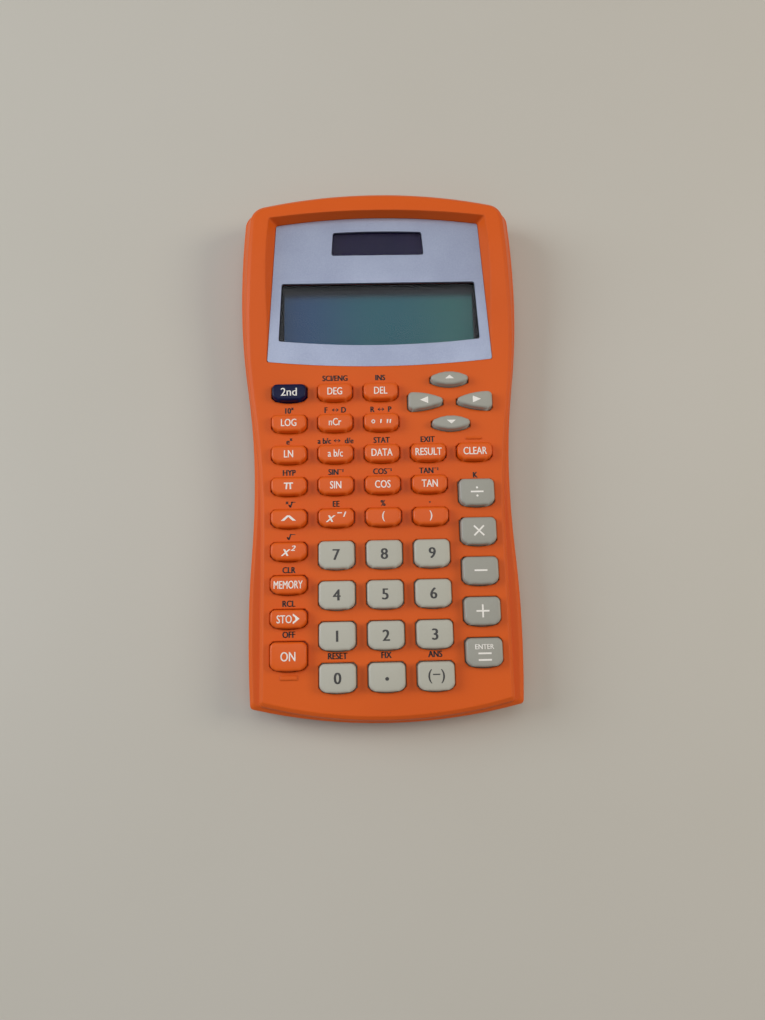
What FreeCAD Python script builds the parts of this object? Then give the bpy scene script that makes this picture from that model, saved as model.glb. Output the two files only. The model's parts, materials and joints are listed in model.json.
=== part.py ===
import FreeCAD, Part
import math
import os
import re

import Sketcher
from FreeCAD import Placement, Rotation, Vector

# A pocket scientific calculator lying on its back: +X to the right of the keypad, +Y towards the display,
# +Z out of the key face. The origin is the centre of the resting plane under the four feet.
# Two moulded housings close round a circuit board, a rubber dome membrane and forty-four separate key caps.

SIZES = [
    # Casing in plan: the flank is the outer skin at the parting line, the deck is the raised front inside it.
    ("body_length", 155.0),
    ("shoulder_width", 81.2),
    ("shoulder_y", 47.2),
    ("top_corner_width", 79.0),
    ("top_bow", 4.7),
    ("top_corner_radius", 5.0),
    ("waist_width", 72.2),
    ("waist_y", -14.3),
    ("flare_width", 74.6),
    ("flare_y", -50.8),
    ("bottom_corner_width", 73.2),
    ("bottom_bow", 4.4),
    ("bottom_corner_radius", 1.2),
    ("rail_width", 68.2),
    ("rail_y", -28.0),
    ("deck_inset", 0.3),
    ("shoulder_lean", 2.4),
    ("rail_lean", 0.7),
    ("end_lean", 1.5),
    # Heights, each measured from the level named before it.
    ("foot_proud", 0.6),
    ("rear_depth", 5.6),
    ("flank_height", 2.8),
    ("face_rise", 2.5),
    ("rim_rise", 3.1),
    ("ramp_start_y", 22.0),
    ("ramp_end_y", 60.0),
    ("crown_drop", 0.8),
    ("flank_bevel", 1.0),
    ("deck_bevel", 0.8),
    ("rear_bevel", 1.8),
    ("wall_thickness", 1.7),
    ("floor_thickness", 1.6),
    ("face_thickness", 1.8),
    ("parting_reveal", 0.15),
    ("lip_thickness", 0.8),
    ("lip_height", 0.9),
    ("lip_clearance", 0.1),
    # Display: a silver bezel in a sloping recess over a clear lens, the glass and the solar cell.
    ("bezel_bottom_y", 24.0),
    ("bezel_bottom_width", 65.0),
    ("bezel_bottom_bow", 1.8),
    ("bezel_top_y", 67.2),
    ("bezel_top_width", 60.3),
    ("bezel_top_bow", 2.3),
    ("panel_corner_radius", 0.7),
    ("bezel_thickness", 0.7),
    ("bezel_sink", 0.2),
    ("bezel_clearance", 0.12),
    ("recess_side_lean", 2.2),
    ("recess_top_lean", 1.0),
    ("window_top_y", 48.4),
    ("window_top_width", 56.9),
    ("window_bottom_y", 30.3),
    ("window_bottom_width", 58.6),
    ("window_bottom_bow", 1.6),
    ("solar_top_y", 64.8),
    ("solar_top_width", 26.5),
    ("solar_bottom_y", 57.3),
    ("solar_bottom_width", 27.5),
    ("solar_bow", 0.35),
    ("lens_margin", 1.4),
    ("lens_thickness", 0.9),
    ("lens_clearance", 0.1),
    ("display_floor", 0.8),
    ("opening_margin", 0.4),
    ("glass_width", 60.0),
    ("glass_bottom_y", 27.5),
    ("glass_length", 21.9),
    ("glass_thickness", 1.6),
    ("glass_ledge", 2.6),
    ("frame_wall", 0.9),
    ("frame_lip", 0.5),
    ("frame_clearance", 0.05),
    ("aperture_width", 55.8),
    ("aperture_top_y", 47.8),
    ("aperture_bottom_y", 28.2),
    ("cell_margin", 0.9),
    ("solar_thickness", 1.1),
    ("zebra_width", 52.0),
    ("zebra_thickness", 2.0),
    # Keypad grid.
    ("column_pitch", 13.0),
    ("function_row_y", 13.95),
    ("function_pitch", 9.11),
    ("number_row_y", -32.8),
    ("number_pitch", 10.92),
    ("operator_row_y", -16.0),
    ("arrow_x", 19.7),
    ("arrow_y", 10.9),
    ("arrow_reach_x", 7.0),
    ("arrow_reach_y", 6.6),
    # Key caps.
    ("key_proud", 2.2),
    ("key_clearance", 0.3),
    ("function_key_width", 9.7),
    ("function_key_length", 5.0),
    ("large_key_width", 9.7),
    ("large_key_length", 7.6),
    ("key_near_bow", 0.6),
    ("key_far_cut", 0.7),
    ("key_near_cut", 0.9),
    ("vertical_arrow_width", 10.6),
    ("vertical_arrow_length", 4.1),
    ("side_arrow_width", 9.8),
    ("side_arrow_length", 5.1),
    ("arrow_tip", 0.6),
    ("arrow_cut", 0.7),
    ("flange_width", 0.6),
    ("flange_thickness", 0.8),
    ("flange_gap", 0.1),
    ("plunger_width", 3.0),
    ("plunger_gap", 0.05),
    # Rubber membrane and circuit board.
    ("board_thickness", 1.6),
    ("board_clearance", 1.8),
    ("board_width", 62.4),
    ("board_top_y", 52.3),
    ("board_bottom_y", -70.8),
    ("notch_width", 8.7),
    ("notch_y", -65.6),
    ("membrane_inset", 0.4),
    ("membrane_top_y", 24.6),
    ("membrane_thickness", 0.6),
    ("dome_base_width", 6.0),
    ("dome_top_width", 3.6),
    ("dome_height", 1.8),
    ("dome_wall", 0.5),
    ("chip_diameter", 9.0),
    ("chip_height", 1.1),
    ("chip_x", 8.0),
    ("chip_y", -22.0),
    ("rib_thickness", 1.2),
    ("rib_width", 58.0),
    ("rib_y", 35.0),
    ("rib_pitch", 23.0),
    # Fasteners, feet, button cell and its contacts.
    ("top_screw_x", 34.6),
    ("top_screw_y", 61.0),
    ("middle_screw_x", 34.0),
    ("middle_screw_y", 20.4),
    ("bottom_screw_x", 27.5),
    ("bottom_screw_y", -69.6),
    ("boss_diameter", 4.6),
    ("post_diameter", 5.6),
    ("screw_diameter", 2.0),
    ("screw_head_diameter", 3.8),
    ("screw_head_height", 1.3),
    ("screw_sink", 0.5),
    ("screw_reach", 5.7),
    ("thread_clearance", 0.1),
    ("hole_clearance", 0.3),
    ("top_board_screw_x", 6.5),
    ("top_board_screw_y", 19.4),
    ("bottom_board_screw_x", 20.6),
    ("bottom_board_screw_y", -67.5),
    ("board_boss_diameter", 3.4),
    ("board_screw_diameter", 1.6),
    ("board_head_diameter", 3.0),
    ("board_head_height", 0.8),
    ("board_screw_reach", 4.0),
    ("foot_diameter", 7.0),
    ("foot_recess", 0.5),
    ("foot_x", 27.0),
    ("foot_top_y", 66.0),
    ("foot_bottom_y", -60.0),
    ("cell_diameter", 11.6),
    ("cell_height", 5.4),
    ("cell_cap_diameter", 9.4),
    ("cell_cap_height", 0.5),
    ("cell_x", -22.6),
    ("cell_y", 60.6),
    ("cell_play", 0.3),
    ("well_wall", 1.0),
    ("well_height", 4.0),
    ("contact_thickness", 0.3),
    ("contact_width", 4.0),
    ("contact_landing", 1.2),
    ("lead_diameter", 0.8),
    ("lead_spacing", 3.0),
    ("lead_bend_radius", 1.2),
    ("lead_y", 58.6),
    # Moulded locating bars.
    ("bar_height", 0.25),
    ("on_bar_length", 4.6),
    ("on_bar_width", 1.1),
    ("on_bar_y", -65.2),
    ("clear_bar_length", 4.4),
    ("clear_bar_width", 0.5),
    ("clear_bar_y", 0.0),
]

# Levels above the resting plane, as formulas of the sizes.
BACK = "foot_proud"
PARTING = f"({BACK} + rear_depth)"
FLANK_TOP = f"({PARTING} + flank_height)"
DECK_BASE = f"({FLANK_TOP} - flank_bevel)"
FACE = f"({FLANK_TOP} + face_rise)"
RIM = f"({FACE} + rim_rise)"
ABOVE = f"({RIM} + rim_rise)"
CEILING = f"({FACE} - face_thickness)"
BEZEL_TOP = f"({FACE} - bezel_sink)"
BEZEL_SEAT = f"({BEZEL_TOP} - bezel_thickness)"
LENS_SEAT = f"({BEZEL_SEAT} - lens_thickness)"
DISPLAY_CEILING = f"({LENS_SEAT} - display_floor)"
SOLAR_BOTTOM = f"({LENS_SEAT} - solar_thickness)"
FRAME_TOP = f"({DISPLAY_CEILING} - frame_clearance)"
GLASS_TOP = f"({FRAME_TOP} - frame_lip)"
REAR_FLOOR = f"({BACK} + floor_thickness)"
BOARD_BOTTOM = f"({REAR_FLOOR} + board_clearance)"
BOARD_TOP = f"({BOARD_BOTTOM} + board_thickness)"
SHEET_TOP = f"({BOARD_TOP} + membrane_thickness)"
DOME_TOP = f"({SHEET_TOP} + dome_height)"
KEY_TOP = f"({FACE} + key_proud)"
FLANGE_TOP = f"({CEILING} - flange_gap)"
FLANGE_BOTTOM = f"({FLANGE_TOP} - flange_thickness)"
CELL_BOTTOM = f"({REAR_FLOOR} + contact_thickness)"
CELL_TOP = f"({CELL_BOTTOM} + cell_height)"
HEAD_SEAT = f"({BACK} + screw_sink + screw_head_height)"

CASE_SCREWS = [
    (f"{side} * {row}_screw_x", f"{row}_screw_y")
    for row in ("top", "middle", "bottom")
    for side in (-1, 1)
]
BOARD_SCREWS = [
    (f"{side} * {row}_board_screw_x", f"{row}_board_screw_y")
    for row in ("top", "bottom")
    for side in (-1, 1)
]
FEET = [(f"{side} * foot_x", f"foot_{end}_y") for end in ("top", "bottom") for side in (-1, 1)]

RIB_COUNT = 5
# Sides of the many-sided rings that stand for small round forms.
POST_SIDES = 8
ROUND_SIDES = 16
FOOT_SIDES = 24

# The keypad in blocks: the place of the first key, columns to the right, rows downwards, their pitch,
# the form of the cap, half-turns of that form, and the keys' names row by row.
KEY_BLOCKS = [
    {
        "name": "left_functions",
        "x": "-2 * column_pitch", "y": "function_row_y",
        "columns": 1, "rows": 8, "pitch": "function_pitch",
        "form": "function", "half_turns": 0,
        "keys": ["second", "log", "ln", "pi", "power", "square", "memory_list", "store"],
    },
    {
        "name": "middle_functions",
        "x": "-column_pitch", "y": "function_row_y",
        "columns": 2, "rows": 5, "pitch": "function_pitch",
        "form": "function", "half_turns": 0,
        "keys": [
            "angle_mode", "delete", "probability", "degrees_minutes", "fraction", "data",
            "sin", "cos", "reciprocal", "open_bracket",
        ],
    },
    {
        "name": "right_functions",
        "x": "column_pitch", "y": "function_row_y - 2 * function_pitch",
        "columns": 1, "rows": 3, "pitch": "function_pitch",
        "form": "function", "half_turns": 0,
        "keys": ["stat_results", "tan", "close_bracket"],
    },
    {
        "name": "clear",
        "x": "2 * column_pitch", "y": "function_row_y - 2 * function_pitch",
        "columns": 1, "rows": 1, "pitch": "function_pitch",
        "form": "function", "half_turns": 0,
        "keys": ["clear"],
    },
    {
        "name": "numbers",
        "x": "-column_pitch", "y": "number_row_y",
        "columns": 3, "rows": 4, "pitch": "number_pitch",
        "form": "large", "half_turns": 0,
        "keys": ["7", "8", "9", "4", "5", "6", "1", "2", "3", "0", "decimal", "negate"],
    },
    {
        "name": "operators",
        "x": "2 * column_pitch", "y": "operator_row_y",
        "columns": 1, "rows": 5, "pitch": "number_pitch",
        "form": "large", "half_turns": 0,
        "keys": ["divide", "multiply", "subtract", "add", "enter"],
    },
    {
        "name": "on",
        "x": "-2 * column_pitch", "y": "operator_row_y - 4 * number_pitch",
        "columns": 1, "rows": 1, "pitch": "number_pitch",
        "form": "large", "half_turns": 0,
        "keys": ["on"],
    },
    {
        "name": "up",
        "x": "arrow_x", "y": "arrow_y + arrow_reach_y",
        "columns": 1, "rows": 1, "pitch": "number_pitch",
        "form": "vertical_arrow", "half_turns": 0,
        "keys": ["up"],
    },
    {
        "name": "down",
        "x": "arrow_x", "y": "arrow_y - arrow_reach_y",
        "columns": 1, "rows": 1, "pitch": "number_pitch",
        "form": "vertical_arrow", "half_turns": 1,
        "keys": ["down"],
    },
    {
        "name": "left",
        "x": "arrow_x - arrow_reach_x", "y": "arrow_y",
        "columns": 1, "rows": 1, "pitch": "number_pitch",
        "form": "side_arrow", "half_turns": 0,
        "keys": ["left"],
    },
    {
        "name": "right",
        "x": "arrow_x + arrow_reach_x", "y": "arrow_y",
        "columns": 1, "rows": 1, "pitch": "number_pitch",
        "form": "side_arrow", "half_turns": 1,
        "keys": ["right"],
    },
]

document = FreeCAD.newDocument("scientific_calculator")
sheet = document.addObject("Spreadsheet::Sheet", "Sizes")
for row, (alias, size) in enumerate(SIZES, start=1):
    sheet.set(f"A{row}", alias)
    sheet.set(f"B{row}", str(size))
    sheet.setAlias(f"B{row}", alias)
document.recompute()
ALIASES = {alias for alias, size in SIZES}


# Sheet and sketch helpers ---------------------------------------------------------------------------------

def formula(text):
    """Write a formula of size names as an expression on the sheet."""
    return re.sub(r"[a-z_]+", lambda word: f"Sizes.{word[0]}" if word[0] in ALIASES else word[0], text)


def value(text):
    """Present value of a formula, in millimetres."""
    return float(sheet.evalExpression(formula(text)))


def new_body(label):
    """An empty body whose label names the sub-part."""
    body = document.addObject("PartDesign::Body", label)
    body.Label = label
    return body


def origin_part(body, role):
    """A plane or an axis of the body's own origin."""
    return next(part for part in body.Origin.OriginFeatures if part.Role == role)


def new_sketch(body, name, level, plane="XY_Plane"):
    """An empty sketch parallel to an origin plane of the body, at the given level above it."""
    sketch = body.newObject("Sketcher::SketchObject", name)
    sketch.AttachmentSupport = [(origin_part(body, plane), "")]
    sketch.MapMode = "FlatFace"
    sketch.setExpression("AttachmentOffset.Base.z", formula(level))
    return sketch


def bind(sketch, constraint, text):
    """Add a dimension to a sketch and tie it to a formula."""
    index = sketch.addConstraint(constraint)
    sketch.setExpression(f"Constraints[{index}]", formula(text))


def minus(first, second):
    return f"(({first}) - ({second}))"


def bow_radius(start, end, bow):
    """Radius of the arc between two corners that stands out from their chord by the bow."""
    across, along = minus(end[0], start[0]), minus(end[1], start[1])
    return f"(({across} ^ 2 + {along} ^ 2) / (8 * {bow}) + {bow} / 2)"


def s_curve(start, end, side, upright=True):
    """Two equal arcs that leave one corner and meet the next upright (or level), turning over halfway."""
    across, along = minus(end[0], start[0]), minus(end[1], start[1])
    offset = across if upright else along
    radius = f"(({across} ^ 2 + {along} ^ 2) / (4 * abs({offset})))"
    middle = (f"(({start[0]}) + ({end[0]})) / 2", f"(({start[1]}) + ({end[1]})) / 2")
    return [(*start, ("arc", radius, side)), (*middle, ("arc", radius, -side))]


def tail_radius(start, end, upright=True):
    """Radius of the arc between two corners that is upright (or level) at one of them."""
    across, along = minus(end[0], start[0]), minus(end[1], start[1])
    offset = across if upright else along
    return f"(({across} ^ 2 + {along} ^ 2) / (2 * abs({offset})))"


def mirrored(right, closing_edge=None):
    """Close an outline from its right-hand corners, bottom to top, and their mirror image."""
    edges = [closing_edge] + [corner[2] for corner in right[:-1]]
    left = [(f"-({x})", y, before, *rounding) for (x, y, edge, *rounding), before in zip(right, edges)]
    return right + left[::-1]


def placed(corners, x, y, half_turns=0):
    """Move an outline, and turn it half round if asked."""
    sign = "-" if half_turns % 2 else ""
    return [(f"({x}) + {sign}({cx})", f"({y}) + {sign}({cy})", *rest) for cx, cy, *rest in corners]


def arc_between(start, end, radius, side):
    """Short arc from start to end with its centre on the left (side 1) or right (side -1) of the way."""
    chord = end - start
    normal = Vector(-chord.y, chord.x, 0).normalize() * side
    centre = (start + end) / 2 + normal * math.sqrt(max(radius ** 2 - (chord.Length / 2) ** 2, 0))
    first, last = (start, end) if side > 0 else (end, start)
    angles = [math.atan2(point.y - centre.y, point.x - centre.x) for point in (first, last)]
    if angles[1] < angles[0]:
        angles[1] += 2 * math.pi
    return Part.ArcOfCircle(Part.Circle(centre, Vector(0, 0, 1), radius), *angles)


def draw_outline(sketch, corners):
    """Draw a closed outline. Each corner is (x, y, edge to the next) and, if it is rounded, a radius. An edge
    of None is straight, ("bow", height) stands out by the height, and ("arc", radius, side) curves with its
    centre on the left or the right of the way."""
    count = len(corners)
    first = sketch.GeometryCount
    points = [Vector(value(corner[0]), value(corner[1]), 0) for corner in corners]
    ends = []
    radii = []
    for index, corner in enumerate(corners):
        following = corners[(index + 1) % count]
        start, end = points[index], points[(index + 1) % count]
        edge = corner[2]
        if edge is None:
            sketch.addGeometry(Part.LineSegment(start, end), False)
            ends.append((1, 2))
            radii.append(None)
            continue
        side = 1 if edge[0] == "bow" else edge[2]
        radius = bow_radius(corner, following, edge[1]) if edge[0] == "bow" else edge[1]
        sketch.addGeometry(arc_between(start, end, value(radius), side), False)
        ends.append((1, 2) if side > 0 else (2, 1))
        radii.append(radius)
    for index, (x, y, _, *rounding) in enumerate(corners):
        before = (index - 1) % count
        edge, edge_before = first + index, first + before
        if radii[index]:
            bind(sketch, Sketcher.Constraint("Radius", edge, value(radii[index])), radii[index])
        if rounding:
            chord_middles = [(points[index] + points[near]) / 2 for near in (before, (index + 1) % count)]
            round_corner(sketch, (edge_before, edge), chord_middles, points[index], (x, y), rounding[0])
            continue
        start = ends[index][0]
        sketch.addConstraint(Sketcher.Constraint("Coincident", edge_before, ends[before][1], edge, start))
        bind(sketch, Sketcher.Constraint("DistanceX", -1, 1, edge, start, points[index].x), x)
        bind(sketch, Sketcher.Constraint("DistanceY", -1, 1, edge, start, points[index].y), y)


def round_corner(sketch, edges, sides, point, place, radius):
    """Join two edges by a tangent arc, and keep the sharp corner as a construction point."""
    sketch.fillet(*edges, *sides, value(radius), True, False)
    arc = sketch.GeometryCount - 1
    bind(sketch, Sketcher.Constraint("Radius", arc, value(radius)), radius)
    corner = sketch.addGeometry(Part.Point(point), True)
    for edge in edges:
        sketch.addConstraint(Sketcher.Constraint("PointOnObject", corner, 1, edge))
    bind(sketch, Sketcher.Constraint("DistanceX", -1, 1, corner, 1, point.x), place[0])
    bind(sketch, Sketcher.Constraint("DistanceY", -1, 1, corner, 1, point.y), place[1])


def outline(body, name, corners, level, plane="XY_Plane"):
    """A sketch of one closed outline."""
    sketch = new_sketch(body, name, level, plane)
    draw_outline(sketch, corners)
    return sketch


def ring(x, y, diameter, sides=POST_SIDES):
    """Corners of an even many-sided ring about a point, whose diameter is across its corners."""
    turns = [f"{360 * (step + 0.5) / sides}" for step in range(sides)]
    return [
        (f"({x}) + ({diameter}) / 2 * cos({turn})", f"({y}) + ({diameter}) / 2 * sin({turn})", None)
        for turn in turns
    ]


def rings(body, name, centres, diameter, level, sides=POST_SIDES):
    """A sketch of equal many-sided rings."""
    sketch = new_sketch(body, name, level)
    for x, y in centres:
        draw_outline(sketch, ring(x, y, diameter, sides))
    return sketch


def rectangle(left, right, bottom, top):
    """Corners of an upright rectangle."""
    return [(left, bottom, None), (right, bottom, None), (right, top, None), (left, top, None)]


def centred_rectangle(x, y, width, length):
    """Corners of an upright rectangle about a point."""
    side, end = f"({width}) / 2", f"({length}) / 2"
    return rectangle(f"{x} - {side}", f"{x} + {side}", f"{y} - {end}", f"{y} + {end}")


# Feature helpers --------------------------------------------------------------------------------------------

def pad(body, name, sketch, height, midplane=False):
    """Raise a sketch by the height, or half of it each way."""
    feature = body.newObject("PartDesign::Pad", name)
    feature.Profile = sketch
    feature.Midplane = midplane
    feature.setExpression("Length", formula(height))
    document.recompute()
    return feature


def pocket(body, name, sketch, depth=None, midplane=False):
    """Cut down from a sketch, through everything below it unless a depth is given."""
    before = body.Shape.Volume
    feature = body.newObject("PartDesign::Pocket", name)
    feature.Profile = sketch
    feature.Midplane = midplane
    if depth is None:
        feature.Type = "ThroughAll"
    else:
        feature.setExpression("Length", formula(depth))
    document.recompute()
    if body.Shape.Volume >= before:
        raise RuntimeError(f"{body.Label}: {name} cuts nothing")
    return feature


def loft(body, name, lower, upper, kind="Additive"):
    """A straight-sided loft between two sketches."""
    feature = body.newObject(f"PartDesign::{kind}Loft", name)
    feature.Profile = lower
    feature.Sections = [upper]
    feature.Ruled = True
    document.recompute()
    return feature


def bevel(body, name, base, size, chosen):
    """Cut back the edges of a feature that pass the test."""
    names = [f"Edge{index}" for index, edge in enumerate(base.Shape.Edges, start=1) if chosen(edge)]
    feature = body.newObject("PartDesign::Chamfer", name)
    feature.Base = (base, names)
    feature.setExpression("Size", formula(size))
    document.recompute()
    return feature


def combine(body, name, other, kind):
    """Fuse another body to this one, or cut it away."""
    before = body.Shape.Volume
    feature = body.newObject("PartDesign::Boolean", name)
    feature.Type = kind
    feature.addObject(other)
    document.recompute()
    if (body.Shape.Volume > before) != (kind == "Fuse"):
        raise RuntimeError(f"{body.Label}: {name} changes nothing")
    return feature


def pattern(body, name, originals, block):
    """Repeat features over the rows and columns of a key block, downwards and to the right."""
    feature = body.newObject("PartDesign::LinearPattern", name)
    feature.Originals = originals
    feature.Direction = (origin_part(body, "Y_Axis"), [""])
    feature.Reversed = True
    feature.setExpression("Length", formula(f"{block['pitch']} * {max(block['rows'] - 1, 1)}"))
    feature.Occurrences = block["rows"]
    feature.Direction2 = (origin_part(body, "X_Axis"), [""])
    feature.setExpression("Length2", formula(f"column_pitch * {max(block['columns'] - 1, 1)}"))
    feature.Occurrences2 = block["columns"]
    body.Tip = feature
    document.recompute()
    return feature


# Outlines ---------------------------------------------------------------------------------------------------

def flank_outline(inset="0"):
    """Outer skin in plan: broad shoulders, a waist beside the keypad and a slight flare below it."""
    def half(width):
        return f"({width} / 2 - ({inset}))"

    low = (half("bottom_corner_width"), f"-(body_length / 2 - bottom_bow - ({inset}))")
    flare = (half("flare_width"), "flare_y")
    waist = (half("waist_width"), "waist_y")
    shoulder = (half("shoulder_width"), "shoulder_y")
    high = (half("top_corner_width"), f"body_length / 2 - top_bow - ({inset})")
    right = [(*low, ("arc", tail_radius(low, flare), 1), "bottom_corner_radius")]
    right += s_curve(flare, waist, 1)
    right += s_curve(waist, shoulder, -1)
    right += [
        (*shoulder, ("arc", tail_radius(shoulder, high), 1)),
        (*high, ("bow", "top_bow"), "top_corner_radius"),
    ]
    return mirrored(right, ("bow", "bottom_bow"))


def deck_outline(rail_inset, shoulder_inset, end_inset):
    """Raised front in plan: parallel rails beside the keypad that sweep out to the shoulders."""
    rail = f"(rail_width / 2 - ({rail_inset}))"
    end = f"(deck_inset + ({end_inset}))"
    low = (rail, f"-(body_length / 2 - bottom_bow - {end})")
    rail_end = (rail, "rail_y")
    shoulder = (f"(shoulder_width / 2 - deck_inset - ({shoulder_inset}))", "shoulder_y")
    high = (f"(top_corner_width / 2 - deck_inset - ({shoulder_inset}))", f"body_length / 2 - top_bow - {end}")
    right = [(*low, None, "bottom_corner_radius")]
    right += s_curve(rail_end, shoulder, -1)
    right += [
        (*shoulder, ("arc", tail_radius(shoulder, high), 1)),
        (*high, ("bow", "top_bow"), "top_corner_radius"),
    ]
    return mirrored(right, ("bow", "bottom_bow"))


def panel_outline(end, margin="0", rounded=True):
    """A display panel, bowed at both ends, grown all round by the margin, with rounded or sharp corners."""
    bottom = (f"{end}_bottom_width / 2 + ({margin})", f"{end}_bottom_y - ({margin})")
    top = (f"{end}_top_width / 2 + ({margin})", f"{end}_top_y + ({margin})")
    edges = {
        "bezel": (("bow", "bezel_bottom_bow"), ("bow", "bezel_top_bow")),
        "window": (("bow", "window_bottom_bow"), None),
        "solar": (None, ("bow", "solar_bow")),
    }
    bottom_edge, top_edge = edges[end]
    rounding = ["panel_corner_radius"] if rounded else []
    return mirrored([(*bottom, None, *rounding), (*top, top_edge, *rounding)], bottom_edge)


def corner_leg(cut, margin):
    """Leg of a corner cut at 45 degrees, lengthened so that a grown outline keeps an even gap."""
    return f"({cut} + (2 - sqrt(2)) * {margin})"


def cap_outline(form, margin):
    """A key cap: straight far edge, bowed near edge and cut corners."""
    side = f"({form}_key_width / 2 + {margin})"
    reach = f"({form}_key_length / 2 + {margin})"
    near = f"({reach} - key_near_bow)"
    far_leg, near_leg = corner_leg("key_far_cut", margin), corner_leg("key_near_cut", margin)
    right = [
        (f"{side} - {near_leg}", f"-{near}", None),
        (side, f"-({near} - {near_leg})", None),
        (side, f"{reach} - {far_leg}", None),
        (f"{side} - {far_leg}", reach, None),
    ]
    return mirrored(right, ("bow", "key_near_bow"))


def vertical_arrow_outline(margin):
    """The up and down keys: two shallow arcs that end in blunt tips."""
    side = f"(vertical_arrow_width / 2 + {margin})"
    tip = f"(arrow_tip + {margin})"
    edge = ("bow", "(vertical_arrow_length / 2 - arrow_tip)")
    return mirrored([(side, f"-{tip}", None), (side, tip, edge)], edge)


def side_arrow_outline(margin):
    """The left key: square-ended outwards, its long edges closing to a blunt tip on the inner side."""
    side = f"(side_arrow_width / 2 + {margin})"
    half = f"(side_arrow_length / 2 + {margin})"
    tip = f"(arrow_tip + {margin})"
    leg = corner_leg("arrow_cut", margin)
    back = f"({leg} - {side})"
    edge = ("arc", tail_radius((side, tip), (back, half), upright=False), 1)
    return [
        (side, f"-{tip}", None),
        (side, tip, edge),
        (back, half, None),
        (f"-{side}", f"{half} - {leg}", None),
        (f"-{side}", f"-({half} - {leg})", None),
        (back, f"-{half}", edge),
    ]


def key_outline(form, margin="0"):
    """The plan of a cap of the given form, grown all round by the margin."""
    if form == "vertical_arrow":
        return vertical_arrow_outline(margin)
    if form == "side_arrow":
        return side_arrow_outline(margin)
    return cap_outline(form, margin)


def key_sizes(form):
    """Names of the width and the length of a cap of the given form."""
    stem = form if form.endswith("arrow") else f"{form}_key"
    return f"{stem}_width", f"{stem}_length"


def notched_outline(inset, top):
    """The board's plan, with a notch at each lower corner for the case screws' bosses."""
    half = f"(board_width / 2 - {inset})"
    tab = f"(board_width / 2 - notch_width - {inset})"
    right = [
        (tab, f"board_bottom_y + {inset}", None),
        (tab, f"notch_y + {inset}", None),
        (half, f"notch_y + {inset}", None),
        (half, top, None),
    ]
    return mirrored(right)


# Housings ---------------------------------------------------------------------------------------------------

def raised_deck():
    """The block of the keypad face and the display rim, before it joins the front housing."""
    body = new_body("raised_deck")
    lower = outline(body, "deck_foot", deck_outline("0", "0", "0"), DECK_BASE)
    upper = outline(body, "deck_crown", deck_outline("rail_lean", "shoulder_lean", "end_lean"), RIM)
    loft(body, "deck_block", lower, upper)
    near = ("-body_length", FACE)
    start = ("ramp_start_y", FACE)
    crest = ("ramp_end_y", RIM)
    crown = ("body_length / 2", f"{RIM} - crown_drop")
    cut = [(*near, None)]
    cut += s_curve(start, crest, 1, upright=False)
    cut += [
        (*crest, ("arc", tail_radius(crest, crown, upright=False), -1)),
        (*crown, None),
        ("body_length / 2", ABOVE, None),
        ("-body_length", ABOVE, None),
    ]
    profile = outline(body, "deck_side_profile", cut, "0", "YZ_Plane")
    shaped = pocket(body, "deck_profile_cut", profile, "2 * shoulder_width", midplane=True)

    def on_outer_top(edge):
        box = edge.BoundBox
        crosses = box.YLength < 0.001
        return box.ZMin > value(FACE) - 0.001 and not crosses

    bevel(body, "deck_top_edge", shaped, "deck_bevel", on_outer_top)
    return body


def bevelled_slab(body, name, inset, bevel_size, bevelled_level, square_level):
    """A slab with the casing's plan between two levels, its edge cut back at 45 degrees at the first."""
    inner = outline(body, f"{name}_edge_plan", flank_outline(f"{inset} + {bevel_size}"), bevelled_level)
    way = f"({square_level} - {bevelled_level})"
    shoulder_level = f"({bevelled_level} + {bevel_size} * {way} / abs({way}))"
    shoulder = outline(body, f"{name}_shoulder_plan", flank_outline(inset), shoulder_level)
    loft(body, f"{name}_edge", inner, shoulder)
    plan = outline(body, f"{name}_plan", flank_outline(inset), shoulder_level)
    slab = pad(body, name, plan, f"abs({way}) - {bevel_size}")
    slab.Reversed = value(way) < 0
    document.recompute()
    return slab


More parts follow.
